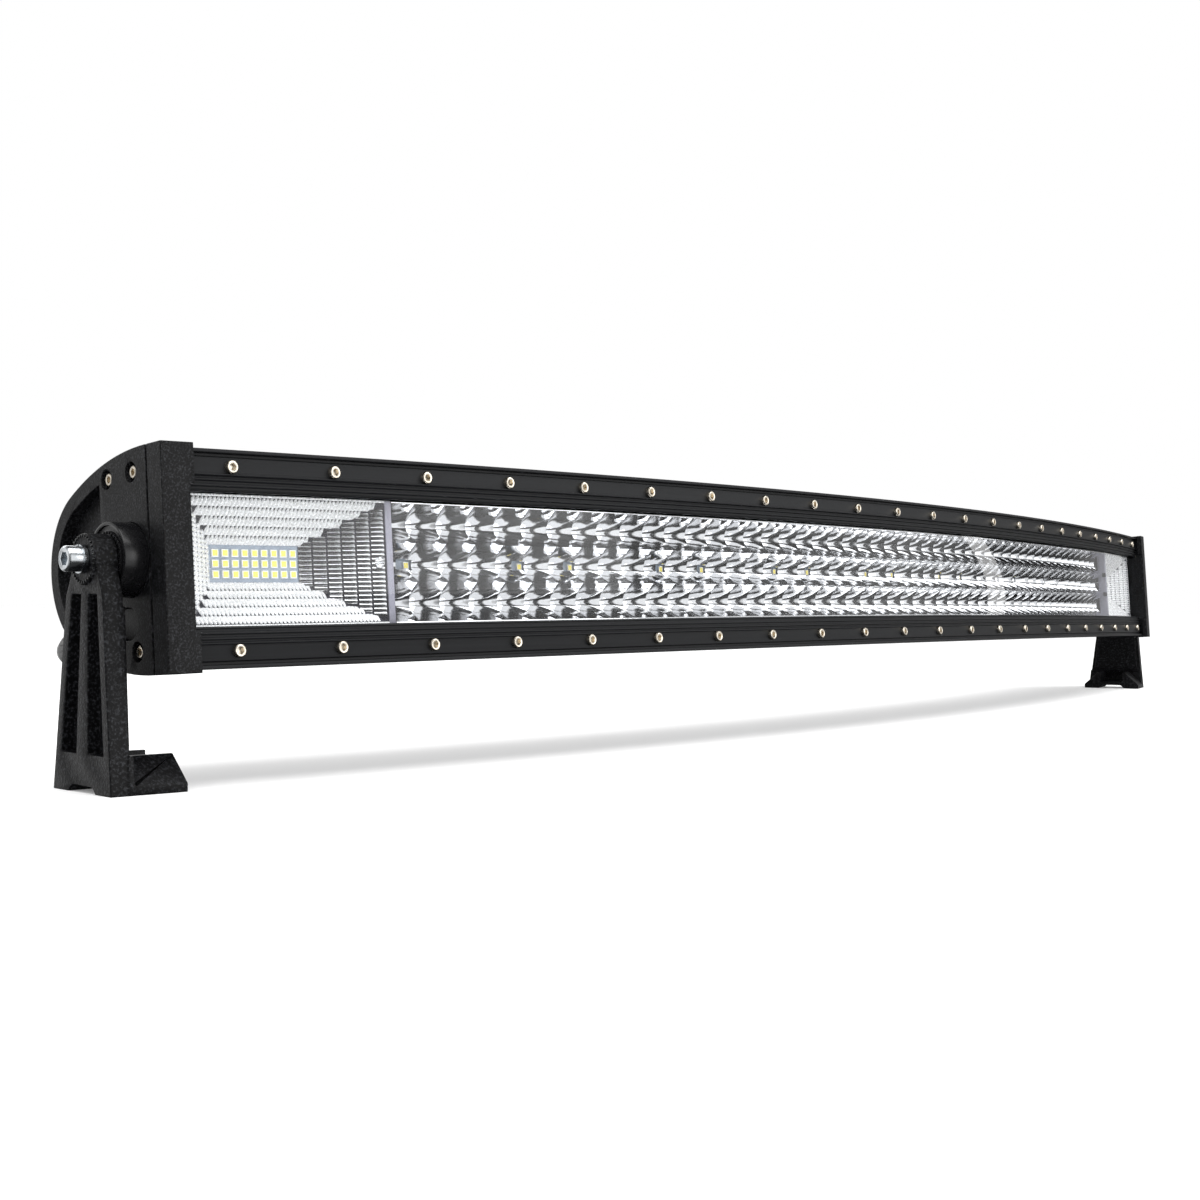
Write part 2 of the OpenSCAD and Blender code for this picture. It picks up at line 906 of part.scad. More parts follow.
housing();
lens();
lens_gasket();
bezel_top();
bezel_bottom();
bezel_screws_top();
bezel_screws_bottom();
reflector_centre();
reflector_flood_left();
reflector_flood_right();
reflector_posts();
led_board_centre();
led_board_left();
led_board_right();
leds_centre();
leds_left();
leds_right();
board_screws();
driver_board();
end_cap_left();
end_cap_right();
end_gasket_left();
end_gasket_right();
end_cap_screws_left();
end_cap_screws_right();
pivot_hub_left();
pivot_hub_right();
pivot_bolt_left();
pivot_bolt_right();
spring_washer_left();
spring_washer_right();
bracket_left();
bracket_right();
gland_body();
gland_seal();
gland_nut();
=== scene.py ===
import json
import math

import bmesh
import bpy
import numpy as np
from mathutils import Matrix, Vector


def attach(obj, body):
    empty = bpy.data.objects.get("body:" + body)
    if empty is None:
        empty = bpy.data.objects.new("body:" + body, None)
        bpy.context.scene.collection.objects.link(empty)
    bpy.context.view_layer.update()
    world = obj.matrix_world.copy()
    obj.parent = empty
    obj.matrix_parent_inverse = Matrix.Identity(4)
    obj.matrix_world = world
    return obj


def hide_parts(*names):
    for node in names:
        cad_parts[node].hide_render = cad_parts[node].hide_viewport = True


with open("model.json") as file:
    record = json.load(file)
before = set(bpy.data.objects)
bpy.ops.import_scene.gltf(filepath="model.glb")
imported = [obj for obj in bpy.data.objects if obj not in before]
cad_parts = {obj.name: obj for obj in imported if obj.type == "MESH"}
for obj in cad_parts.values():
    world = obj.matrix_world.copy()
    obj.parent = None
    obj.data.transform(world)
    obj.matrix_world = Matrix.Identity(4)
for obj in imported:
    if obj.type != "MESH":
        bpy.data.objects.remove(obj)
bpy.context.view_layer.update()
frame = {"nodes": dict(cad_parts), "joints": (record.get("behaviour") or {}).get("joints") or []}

scene = bpy.context.scene


# --- Camera --------------------------------------------------------------------------------
# A 53 mm lens stands just off the cable end of the light, level with its hub, and looks along
# it, so that the near bracket stands large and the far one small.

camera_place = (-1.003406, -0.549332, 0.074216)
heading, pitch, roll = [math.radians(angle) for angle in (-54.0707, 90.0835, 0.2759)]
camera_data = bpy.data.cameras.new("camera")
camera_data.sensor_width = 36
camera_data.lens = 52.89
camera_data.clip_start = 0.01
camera = bpy.data.objects.new("camera", camera_data)
scene.collection.objects.link(camera)
camera.matrix_world = (
    Matrix.Translation(camera_place) @ Matrix.Rotation(heading, 4, "Z")
    @ Matrix.Rotation(pitch, 4, "X") @ Matrix.Rotation(roll, 4, "Z"))
scene.camera = camera


# --- Studio --------------------------------------------------------------------------------
# A white paper sweep under a broad overhead softbox, with strip lights at the sides and behind.
# Polished metal sees the lamps against a darker room, so that its curves read as black and white.

def linear(hex_colour):
    """The linear colour of an sRGB hex value."""
    parts = [int(hex_colour[i:i + 2], 16) / 255 for i in (0, 2, 4)]
    return (*[p / 12.92 if p <= 0.04045 else ((p + 0.055) / 1.055) ** 2.4 for p in parts], 1)


def add(tree, kind, links=None, **settings):
    """Adds a node with its settings; links maps its inputs to sockets or to values."""
    node = tree.nodes.new(kind)
    for name, value in settings.items():
        setattr(node, name, value)
    for socket, source in (links or {}).items():
        if isinstance(source, bpy.types.NodeSocket):
            tree.links.new(source, node.inputs[socket])
        else:
            node.inputs[socket].default_value = source
    return node


def surface(name):
    """A new material with its tree and its Principled shader."""
    material = bpy.data.materials.new(name)
    material.use_nodes = True
    return material, material.node_tree, material.node_tree.nodes["Principled BSDF"]


def sweep_paper():
    """Matt white background paper: even white, and it keeps soft grey shadows."""
    material, tree, shader = surface("white_paper_sweep")
    shader.inputs["Base Color"].default_value = linear("f4f4f4")
    shader.inputs["Roughness"].default_value = 0.95
    shader.inputs["Emission Color"].default_value = linear("ffffff")
    shader.inputs["Emission Strength"].default_value = 0.16
    return material


def studio_light(name, place, aim_at, width, depth, brightness):
    """A rectangular softbox of the given radiance."""
    data = bpy.data.lights.new(name, "AREA")
    data.shape = "RECTANGLE"
    data.size = width
    data.size_y = depth
    data.energy = brightness * math.pi * width * depth
    lamp = bpy.data.objects.new(name, data)
    scene.collection.objects.link(lamp)
    lamp.location = place
    lamp.rotation_euler = (Vector(aim_at) - Vector(place)).to_track_quat("-Z", "Y").to_euler()
    lamp.visible_camera = False


paper_half = 14
paper_mesh = bpy.data.meshes.new("paper_sweep")
paper_mesh.from_pydata(
    [(-paper_half, -paper_half, 0), (paper_half, -paper_half, 0),
     (paper_half, paper_half, 0), (-paper_half, paper_half, 0)], [], [(0, 1, 2, 3)])
paper_mesh.materials.append(sweep_paper())
paper = bpy.data.objects.new("paper_sweep", paper_mesh)
scene.collection.objects.link(paper)
paper.visible_glossy = False

studio_light("overhead_softbox", (-0.1, -0.55, 1.5), (0, -0.1, 0), 3.0, 1.3, 2.4)
studio_light("left_strip", (-2.3, -0.5, 0.9), (-0.5, 0, 0.05), 0.5, 1.2, 2.2)
studio_light("front_softbox", (0.7, -2.4, 0.6), (0, 0, 0.09), 2.2, 1.1, 1.5)
studio_light("right_strip", (1.6, -0.545, 0.2), (0.13, -0.06, 0.09), 0.06, 0.6, 1.9)
studio_light("rear_softbox", (0.3, 1.9, 1.2), (0, 0, 0.05), 2.4, 0.7, 1.6)

world = bpy.data.worlds.new("studio_room")
scene.world = world
world.use_nodes = True
room = world.node_tree
room.nodes.clear()
ray = add(room, "ShaderNodeLightPath")
direction = add(room, "ShaderNodeTexCoord").outputs["Generated"]
axes = add(room, "ShaderNodeSeparateXYZ", {0: direction})


def shade_of(axis, stops):
    """Grey of the room by the direction's share along one axis, as (share, grey) stops."""
    spread = add(room, "ShaderNodeMapRange", {
        "Value": axes.outputs[axis], "From Min": -1, "From Max": 1})
    ramp = add(room, "ShaderNodeValToRGB", {0: spread.outputs[0]})
    marks = ramp.color_ramp.elements
    marks[0].position, marks[1].position = (stops[0][0] + 1) / 2, (stops[-1][0] + 1) / 2
    for share, grey in stops[1:-1]:
        marks.new((share + 1) / 2)
    for mark, (share, grey) in zip(marks, stops):
        mark.color = (grey, grey, grey, 1)
    return ramp.outputs[0]


levels = shade_of("Z", [(-0.36, 0.04), (-0.26, 1.0), (0.45, 1.0), (0.65, 0.12)])
front = shade_of("X", [
    (-0.9, 0.1), (-0.8, 0.95), (-0.62, 0.95), (-0.52, 0.04), (-0.345, 0.04), (-0.29, 1.0),
    (0.9, 0.85), (0.945, 0.05), (0.984, 0.05), (0.994, 0.5)])
rear = shade_of("Y", [(0.2, 0.0), (0.5, 0.45)])
sides = add(room, "ShaderNodeMath", {0: front, 1: rear}, operation="MAXIMUM")
walls = add(room, "ShaderNodeMath", {0: levels, 1: sides.outputs[0]}, operation="MULTIPLY")
dim = add(room, "ShaderNodeBackground", {"Color": (1, 1, 1, 1), "Strength": walls.outputs[0]})
bright = add(room, "ShaderNodeBackground", {"Color": (1, 1, 1, 1), "Strength": 1.0})
mixed = add(room, "ShaderNodeMixShader", {
    0: ray.outputs["Is Glossy Ray"], 1: bright.outputs[0], 2: dim.outputs[0]})
add(room, "ShaderNodeOutputWorld", {0: mixed.outputs[0]})
scene.view_settings.view_transform = "Standard"


# --- Housing -------------------------------------------------------------------------------
# One long black anodised extrusion: a tray for the boards, fins behind it and a duct for the driver.
# It is rolled to the bend that the whole light follows, and is tipped up on its two pivot bolts.
# Long pieces are drawn straight, x along the bar, y from front to rear, z up, and then bent.

mm = 0.001
bend_radius = 3064 * mm
tilt = math.radians(4)
pivot_depth = 22.5 * mm
pivot_rise = 1 * mm
left_joint = next(j for j in frame["joints"] if j["name"] == "left_bracket_tilt")
pivot = Vector(left_joint["pos_m"])
splay = math.atan2(left_joint["axis"][1], -left_joint["axis"][0])
end_arc = bend_radius * splay
setback = bend_radius - (bend_radius - pivot_depth) * math.cos(splay)
aim = (Matrix.Translation((0, pivot.y, pivot.z)) @ Matrix.Rotation(-tilt, 4, "X")
       @ Matrix.Translation((0, -setback, -pivot_rise)))


def bent(mesh):
    """Bends a straight mesh on to the bar; its straight places stay in the attribute 'bar'."""
    straight = np.empty(len(mesh.vertices) * 3, np.float32)
    mesh.vertices.foreach_get("co", straight)
    mesh.attributes.new("bar", "FLOAT_VECTOR", "POINT").data.foreach_set("vector", straight)
    along, depth, height = straight.reshape(-1, 3).T.astype(float)
    reach = bend_radius - depth
    place = np.stack([
        reach * np.sin(along / bend_radius), bend_radius - reach * np.cos(along / bend_radius),
        height, np.ones_like(along)])
    mesh.vertices.foreach_set("co", (np.array(aim)[:3] @ place).T.astype(np.float32).ravel())
    mesh.update()
    return mesh


def creased(mesh, angle=25):
    """Smooth faces, with a sharp edge wherever two of them meet at more than the angle."""
    mesh.shade_smooth()
    mesh.set_sharp_from_angle(angle=math.radians(angle))
    return mesh


def grow_tree(name, **inputs):
    """A new geometry node tree and the sockets of its named inputs."""
    tree = bpy.data.node_groups.new(name, "GeometryNodeTree")
    tree.interface.new_socket("Geometry", in_out="OUTPUT", socket_type="NodeSocketGeometry")
    for label, kind in inputs.items():
        tree.interface.new_socket(label, in_out="INPUT", socket_type="NodeSocket" + kind)
    return tree, tree.nodes.new("NodeGroupInput").outputs


def grow_end(tree, geometry, material):
    """Ends a tree in plain geometry with its material."""
    plain = add(tree, "GeometryNodeRealizeInstances", {0: geometry})
    painted = add(tree, "GeometryNodeSetMaterial", {0: plain.outputs[0], "Material": material})
    add(tree, "NodeGroupOutput", {0: painted.outputs[0]})


def hosted(mesh):
    """A passing object that carries a mesh while modifiers work on it."""
    host = bpy.data.objects.new("host", mesh)
    scene.collection.objects.link(host)
    return host


def settled(host):
    """The plain mesh that the modifiers of a passing object make; the object is dropped."""
    bpy.context.view_layer.update()
    made = host.evaluated_get(bpy.context.evaluated_depsgraph_get())
    mesh = bpy.data.meshes.new_from_object(made)
    bpy.data.objects.remove(host)
    return mesh


def grown(tree, **values):
    """The plain mesh that a tree makes from these inputs."""
    host = hosted(bpy.data.meshes.new("host"))
    modifier = host.modifiers.new("grow", "NODES")
    modifier.node_group = tree
    for item in tree.interface.items_tree:
        if item.in_out == "INPUT":
            modifier[item.identifier] = values[item.name]
    return settled(host)


def black_anodised():
    """Black anodised aluminium: a dense grey-black skin, half matt, with lengthwise die lines.
    The lines, 0.9 mm apart, and the etch of 0.6 mm are drawn coarser than real ones, to show."""
    material, tree, shader = surface("black_anodised_aluminium")
    place = add(tree, "ShaderNodeAttribute", attribute_name="bar").outputs["Vector"]
    stretched = add(tree, "ShaderNodeMapping", {
        "Vector": place, "Scale": (1 / (167 * mm), 1 / (0.909 * mm), 1 / (0.909 * mm))})
    lines = add(tree, "ShaderNodeTexNoise", {"Vector": stretched.outputs[0], "Scale": 1, "Detail": 3})
    etched = add(tree, "ShaderNodeTexNoise", {"Vector": place, "Scale": 1 / (0.588 * mm), "Detail": 2})
    tone = add(tree, "ShaderNodeMix", {
        0: lines.outputs[0], 6: linear("101113"), 7: linear("1b1c1e")}, data_type="RGBA")
    gloss = add(tree, "ShaderNodeMapRange", {
        "Value": etched.outputs[0], "To Min": 0.36, "To Max": 0.5})
    grain = add(tree, "ShaderNodeMix", {0: 0.5, 2: lines.outputs[0], 3: etched.outputs[0]})
    bump = add(tree, "ShaderNodeBump", {
        "Strength": 0.25, "Distance": 0.06 * mm, "Height": grain.outputs[0]})
    tree.links.new(tone.outputs[2], shader.inputs["Base Color"])
    tree.links.new(gloss.outputs[0], shader.inputs["Roughness"])
    tree.links.new(bump.outputs[0], shader.inputs["Normal"])
    shader.inputs["Specular IOR Level"].default_value = 0.2
    return material


anodised = black_anodised()


def softened(outline, radius):
    """Rounds every corner of a closed outline with a short curve."""
    rounded = []
    for before, corner, after in zip(outline[-1:] + outline[:-1], outline, outline[1:] + outline[:1]):
        before, corner, after = Vector(before), Vector(corner), Vector(after)
        cut_in = min(radius, (before - corner).length * 0.4)
        cut_out = min(radius, (after - corner).length * 0.4)
        start = corner + (before - corner).normalized() * cut_in
        stop = corner + (after - corner).normalized() * cut_out
        middle = start * 0.25 + corner * 0.5 + stop * 0.25
        rounded += [tuple(start), tuple(middle), tuple(stop)]
    return rounded


def arc_points(centre, radius, start, stop, count):
    """Points along an arc, with its angles in degrees."""
    turns = np.radians(np.linspace(start, stop, count))
    return [(centre[0] + radius * math.cos(t), centre[1] + radius * math.sin(t)) for t in turns]


def outline_object(points, corner):
    """A closed (depth, height) outline in millimetres, as the curve that the sweep reads."""
    points = softened(points, corner)
    area = sum(a[0] * b[1] - b[0] * a[1] for a, b in zip(points, points[1:] + points[:1]))
    data = bpy.data.curves.new("outline", "CURVE")
    spline = data.splines.new("POLY")
    spline.points.add(len(points) - 1)
    for point, (depth, height) in zip(spline.points, points if area > 0 else points[::-1]):
        point.co = (-depth * mm, -height * mm, 0, 1)
    spline.use_cyclic_u = True
    return bpy.data.objects.new("outline", data)


def sweep_tree():
    """Draws an outline along a straight line in even steps."""
    tree, given = grow_tree("sweep", Outline="Object", Start="Float", End="Float", Steps="Int",
                            Material="Material")
    start = add(tree, "ShaderNodeCombineXYZ", {"X": given["Start"]}).outputs[0]
    end = add(tree, "ShaderNodeCombineXYZ", {"X": given["End"]}).outputs[0]
    line = add(tree, "GeometryNodeCurvePrimitiveLine", {"Start": start, "End": end})
    path = add(tree, "GeometryNodeResampleCurve", {"Curve": line.outputs[0], "Count": given["Steps"]})
    outline = add(tree, "GeometryNodeObjectInfo", {"Object": given["Outline"]})
    wall = add(tree, "GeometryNodeCurveToMesh", {
        "Curve": path.outputs[0], "Profile Curve": outline.outputs["Geometry"], "Fill Caps": True})
    grow_end(tree, wall.outputs[0], given["Material"])
    return tree


sweep = sweep_tree()
sweep_step = 11


def swept(outline, start, end, material, corner=0.3):
    """An extrusion of the outline between two places along the bar, in millimetres."""
    mesh = grown(sweep, Outline=outline_object(outline, corner), Start=start * mm, End=end * mm,
                 Steps=int((end - start) / sweep_step) + 2, Material=material)
    return creased(bent(mesh))


cap_arc = end_arc / mm
housing_arc = cap_arc - 13.9
tray_half = 27.5
lip_top = 43.4
spine_front = 26.4
spine_rear = 30.4
duct_front = 57.5
duct_half = 12
fin_pitch = 7.12
fin_half = 1
fin_tips = [87.8, 87.0, 84.5, 79.8, 70.8, 53.8]


def fit(name, mesh, material, body, slot, *nodes):
    """Hands a finished mesh over as a piece that rides on a body and stands for CAD nodes."""
    mesh.materials.clear()
    mesh.materials.append(material)
    mesh.name = name
    piece = bpy.data.objects.new(name, mesh)
    scene.collection.objects.link(piece)
    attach(piece, body)
    if nodes:
        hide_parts(*nodes)
    return piece


def upper_housing():
    """The outline of the housing's upper half, from the front of the tray round to the middle fin."""
    top = 5 * fin_pitch + fin_half
    points = [(8.5, tray_half), (8.5, lip_top), (13, lip_top), (13, top)]
    for centre, radius in (((19.5, 35.3), 4), ((39, 34.5), 4)):
        lift = math.degrees(math.asin((top - centre[1]) / radius))
        points += arc_points(centre, radius, 180 - lift, lift, 7)
    for n in range(5, 0, -1):
        floor = duct_front if n == 1 else spine_rear
        below = (n - 1) * fin_pitch + fin_half
        points += [(fin_tips[n], n * fin_pitch + fin_half), (fin_tips[n], n * fin_pitch - fin_half)]
        if n == 2:
            points += [(spine_rear, n * fin_pitch - fin_half), (spine_rear, duct_half),
                       (duct_front, duct_half), (duct_front, below)]
        else:
            points += [(floor, n * fin_pitch - fin_half), (floor, below)]
    return points + [(fin_tips[0], fin_half)]


upper = upper_housing()
tray_floor = [(spine_front, -tray_half), (spine_front, tray_half)]
housing_outline = upper + [(w, -z) for w, z in reversed(upper)] + tray_floor
fit("housing_extrusion", swept(housing_outline, -housing_arc, housing_arc, anodised), anodised,
    "light", "housing_black", "housing")


# --- Bezel strips --------------------------------------------------------------------------
# Two thin aluminium extrusions clamp the lens. Each has a lip, a flat channel for its screws and
# four fine ribs beside the lens, and is anodised like the housing.

bezel_arc = cap_arc - 12.9
bezel_outline = [
    (8.4, 43.4), (0.4, 43.4), (0.4, 42.0), (3.0, 41.7), (3.0, 40.6), (2.0, 40.3), (2.0, 33.9),
    (1.1, 33.7), (1.1, 33.1), (2.6, 32.7), (2.6, 32.0), (1.9, 31.8), (1.9, 31.1), (2.9, 30.8),
    (2.9, 29.9), (2.3, 29.7), (2.3, 28.9), (3.3, 28.6), (3.3, 27.7), (2.9, 27.4), (3.4, 26.6),
    (4.4, 26.6), (4.4, 30.5), (8.4, 30.5)]
for side, sign in (("top", 1), ("bottom", -1)):
    strip = swept([(w, sign * z) for w, z in bezel_outline], -bezel_arc, bezel_arc, anodised, 0.25)
    fit(f"bezel_strip_{side}", strip, anodised, "light", "bezel_black", f"bezel_{side}")


# --- Bezel screws --------------------------------------------------------------------------
# Forty-four M3 socket head screws, nickel plated over a warm undercoat, hold the strips down.
# Their heads stand proud in the channel, each turned as it happened to stop.

def clouded(name, cloud_mm, tones, gloss, bump=None, metallic=0, detail=3):
    """A finish whose tone, gloss and relief all drift with one soft noise.
    Its clouds are drawn coarser than the grain of the real finish, so that they show."""
    material, tree, shader = surface(name)
    place = add(tree, "ShaderNodeTexCoord").outputs["Object"]
    cloud = add(tree, "ShaderNodeTexNoise", {
        "Vector": place, "Scale": 1 / (cloud_mm * mm), "Detail": detail})
    tone = add(tree, "ShaderNodeMix", {
        0: cloud.outputs[0], 6: linear(tones[0]), 7: linear(tones[1])}, data_type="RGBA")
    tree.links.new(tone.outputs[2], shader.inputs["Base Color"])
    if isinstance(gloss, tuple):
        spread = add(tree, "ShaderNodeMapRange", {
            "Value": cloud.outputs[0], "To Min": gloss[0], "To Max": gloss[1]})
        tree.links.new(spread.outputs[0], shader.inputs["Roughness"])
    else:
        shader.inputs["Roughness"].default_value = gloss
    if bump:
        relief = add(tree, "ShaderNodeBump", {
            "Strength": bump[0], "Distance": bump[1] * mm, "Height": cloud.outputs[0]})
        tree.links.new(relief.outputs[0], shader.inputs["Normal"])
    shader.inputs["Metallic"].default_value = metallic
    return material


# Nickel plated steel: bright and slightly gold, with dull turning marks.
nickel = clouded("nickel_plated_steel", 1.11, ("d9cbb2", "f4efe6"), (0.16, 0.34), metallic=1)


def drawn(build, name):
    """Ends a bmesh in a new mesh of that name."""
    mesh = bpy.data.meshes.new(name)
    build.to_mesh(mesh)
    build.free()
    return mesh


def turned(rings, sides):
    """Turns rings of (radius, depth, hexagonal) about y, from the front; a radius of 0 is a pole."""
    build = bmesh.new()
    loops = []
    for radius, depth, hexagonal in rings:
        if radius == 0:
            loops.append([build.verts.new((0, depth, 0))])
            continue
        loop = []
        for n in range(sides):
            turn = 2 * math.pi * n / sides
            across = math.cos(turn % (math.pi / 3) - math.pi / 6) if hexagonal else 1
            reach = radius * math.cos(math.pi / 6) / across if hexagonal else radius
            loop.append(build.verts.new((reach * math.cos(turn), depth, reach * math.sin(turn))))
        loops.append(loop)
    for first, second in zip(loops, loops[1:]):
        for n in range(sides):
            corners = [first[n % len(first)], first[(n + 1) % len(first)],
                       second[(n + 1) % len(second)], second[n % len(second)]]
            build.faces.new([v for k, v in enumerate(corners) if v not in corners[:k]])
    bmesh.ops.recalc_face_normals(build, faces=build.faces)
    mesh = drawn(build, "turned")
    mesh.transform(Matrix.Scale(mm, 4))
    return creased(mesh)


screw_mesh = turned(
    [(0, 1.9, 0), (1.45, 1.8, 1), (1.55, 0.16, 1), (1.85, 0, 0), (2.2, 0, 0), (2.5, 0.16, 0),
     (2.7, 0.6, 0), (2.7, 2.0, 0), (1.5, 2.0, 0), (1.5, 9, 0), (0, 9, 0)], 18)
screw = bpy.data.objects.new("screw", screw_mesh)


def grid_tree():
    """Sets a piece on a grid of columns along x and rows along z, each spun about y at random."""
    tree, given = grow_tree(
        "rows_of_pieces", Piece="Object", Columns="Int", Rows="Int", Pitch="Float", RowPitch="Float",
        First="Vector", Spin="Float", Seed="Int", Material="Material")
    steps_x = add(tree, "ShaderNodeMath", {0: given["Columns"], 1: 1.0}, operation="SUBTRACT")
    steps_z = add(tree, "ShaderNodeMath", {0: given["Rows"], 1: 1.0}, operation="SUBTRACT")
    width = add(tree, "ShaderNodeMath", {
        0: steps_x.outputs[0], 1: given["Pitch"]}, operation="MULTIPLY")
    rise = add(tree, "ShaderNodeMath", {
        0: steps_z.outputs[0], 1: given["RowPitch"]}, operation="MULTIPLY")
    grid = add(tree, "GeometryNodeMeshGrid", {
        "Size X": width.outputs[0], "Size Y": rise.outputs[0],
        "Vertices X": given["Columns"], "Vertices Y": given["Rows"]})
    middle = add(tree, "ShaderNodeCombineXYZ", {"X": width.outputs[0], "Z": rise.outputs[0]})
    half = add(tree, "ShaderNodeVectorMath", {0: middle.outputs[0], "Scale": 0.5}, operation="SCALE")
    centre = add(tree, "ShaderNodeVectorMath", {0: half.outputs[0], 1: given["First"]}, operation="ADD")
    upright = add(tree, "GeometryNodeTransform", {
        0: grid.outputs[0], "Translation": centre.outputs[0], "Rotation": (math.pi / 2, 0, 0)})
    angle = add(tree, "FunctionNodeRandomValue", {
        "Min": 0.0, 3: given["Spin"], "Seed": given["Seed"]}, data_type="FLOAT")
    spin = add(tree, "ShaderNodeCombineXYZ", {"Y": angle.outputs[1]})
    piece = add(tree, "GeometryNodeObjectInfo", {"Object": given["Piece"]})
    placed = add(tree, "GeometryNodeInstanceOnPoints", {
        "Points": upright.outputs[0], "Instance": piece.outputs["Geometry"],
        "Rotation": spin.outputs[0]})
    grow_end(tree, placed.outputs[0], given["Material"])
    return tree


rows_of_pieces = grid_tree()
screw_pitch = 50 * mm
screw_count = 22
screw_level = 36.5 * mm
for side, sign in (("top", 1), ("bottom", -1)):
    row = grown(rows_of_pieces, Piece=screw, Columns=screw_count, Rows=1, Pitch=screw_pitch,
                RowPitch=0.0, First=(-(screw_count - 1) / 2 * screw_pitch, 0, sign * screw_level),
                Spin=math.pi / 3, Seed=3 + sign, Material=nickel)
    fit(f"bezel_screw_row_{side}", bent(row), nickel, "light", "screw_steel", f"bezel_screws_{side}")


# --- Lens ----------------------------------------------------------------------------------
# A strip of clear polycarbonate 3 mm thick, bent cold into the bezel. It bends light so little
# that the reflectors show straight through it, and it mirrors the room at a low angle.

def clear_sheet():
    """Clear hard-coated polycarbonate: no colour, mirror-smooth, bright only at a low angle."""
    material, tree, shader = surface("clear_polycarbonate")
    tree.nodes.remove(shader)
    bare = add(tree, "ShaderNodeFresnel", {"IOR": 1.45})
    inside = add(tree, "ShaderNodeNewGeometry").outputs["Backfacing"]
    outside = add(tree, "ShaderNodeMath", {0: 1.0, 1: inside}, operation="SUBTRACT")
    edge = add(tree, "ShaderNodeMath", {
        0: bare.outputs[0], 1: outside.outputs[0]}, operation="MULTIPLY")
    clear = add(tree, "ShaderNodeBsdfTransparent", {"Color": (0.985, 0.99, 0.995, 1)})
    shine = add(tree, "ShaderNodeBsdfGlossy", {"Color": (1, 1, 1, 1), "Roughness": 0.02})
    pane = add(tree, "ShaderNodeMixShader", {
        0: edge.outputs[0], 1: clear.outputs[0], 2: shine.outputs[0]})
    tree.links.new(pane.outputs[0], tree.nodes["Material Output"].inputs["Surface"])
    return material


lens_sheet = clear_sheet()
lens_outline = [(5, -30.2), (8, -30.2), (8, 30.2), (5, 30.2)]
fit("lens_sheet", swept(lens_outline, -bezel_arc, bezel_arc, lens_sheet, 0.4),
    lens_sheet, "light", "lens_clear", "lens")


def paint_node(node, material):
    """Gives a CAD node that stays its finish."""
    mesh = frame["nodes"][node].data
    mesh.materials.clear()
    mesh.materials.append(material)


# Black silicone: matt, faintly dusty.
rubber = clouded("black_silicone_rubber", 2.5, ("121213", "1f1f20"), 0.75, (0.3, 0.05), detail=4)
for node in ("lens_gasket", "end_gasket_left", "end_gasket_right", "gland_seal"):
    paint_node(node, rubber)


# --- Middle reflector ----------------------------------------------------------------------
# Three rows of overlapping scoops moulded in one strip of plastic and metallised in vacuum.
# Some scoops of the middle row are cut open, through their left cusp, for the LED behind them.

def metallised():
    """Vacuum-metallised plastic: a mirror with slight ripples left by the mould."""
    ripple_mm = 3.846
    material = clouded("vacuum_metallised_plastic", 16.67, ("eff0f2", "fafafb"), (0.03, 0.1), metallic=1)
    tree = material.node_tree
    place = add(tree, "ShaderNodeTexCoord").outputs["Object"]
    ripple = add(tree, "ShaderNodeTexNoise", {
        "Vector": place, "Scale": 1 / (ripple_mm * mm), "Detail": 2})
    bump = add(tree, "ShaderNodeBump", {
        "Strength": 0.5, "Distance": 0.12 * mm, "Height": ripple.outputs[0]})
    tree.links.new(bump.outputs[0], tree.nodes["Principled BSDF"].inputs["Normal"])
    return material


mirror = metallised()
row_pitch = 17.2
scoop_pitch = 17.84
first_cusp = -425.4
lamp_offset = 5.7
hole_half = 2.3
past_cusp = 3.3
notch = lamp_offset + past_cusp
lamp_round, lamp_skip = 6, 4
lamp_rounds = 8
lamp_places = [first_cusp + lamp_offset + scoop_pitch * n for n in range(lamp_rounds * lamp_round)
               if n % lamp_round in (0, lamp_skip)]
reflector_front = 9
scoop_depth = 14.6
cusp_loss = 0.49
ridge_loss = 0.873


def scoop_mesh():
    """One scoop: it falls from its cusps and ridges to its deepest point, left of its middle."""
    near, far = lamp_offset - hole_half, lamp_offset + hole_half
    xs = [*np.linspace(0, near, 4), *np.linspace(near, far, 5)[1:],
          *np.linspace(far, scoop_pitch, 9)[1:]]
    rise = [*np.linspace(0, hole_half, 3), *np.linspace(hole_half, row_pitch / 2, 6)[1:]]
    zs = [-z for z in rise[:0:-1]] + rise
    verts = []
    for x in xs:
        along = (x - lamp_offset) / (lamp_offset if x < lamp_offset else scoop_pitch - lamp_offset)
        for z in zs:
            across = z / (row_pitch / 2)
            depth = scoop_depth * (1 - cusp_loss * along ** 2) * (1 - ridge_loss * across ** 2)
            verts.append((x * mm, (reflector_front + depth) * mm, z * mm))
    rows = len(zs)
    faces = [(i * rows + j, i * rows + j + rows, i * rows + j + rows + 1, i * rows + j + 1)
             for i in range(len(xs) - 1) for j in range(rows - 1)]
    mesh = bpy.data.meshes.new("scoop")
    mesh.from_pydata(verts, [], faces)
    return mesh


def opened(mesh):
    """Opens the strip in front of each LED, through the cusp that would hide it from the side."""
    build = bmesh.new()
    build.from_mesh(mesh)
    hidden = []
    for face in build.faces:
        middle = face.calc_center_median() / mm
        beside = any(-notch < middle.x - lamp < hole_half for lamp in lamp_places)
        if beside and abs(middle.z) < hole_half:
            hidden.append(face)
    bmesh.ops.delete(build, geom=hidden, context="FACES")
    return drawn(build, "opened")


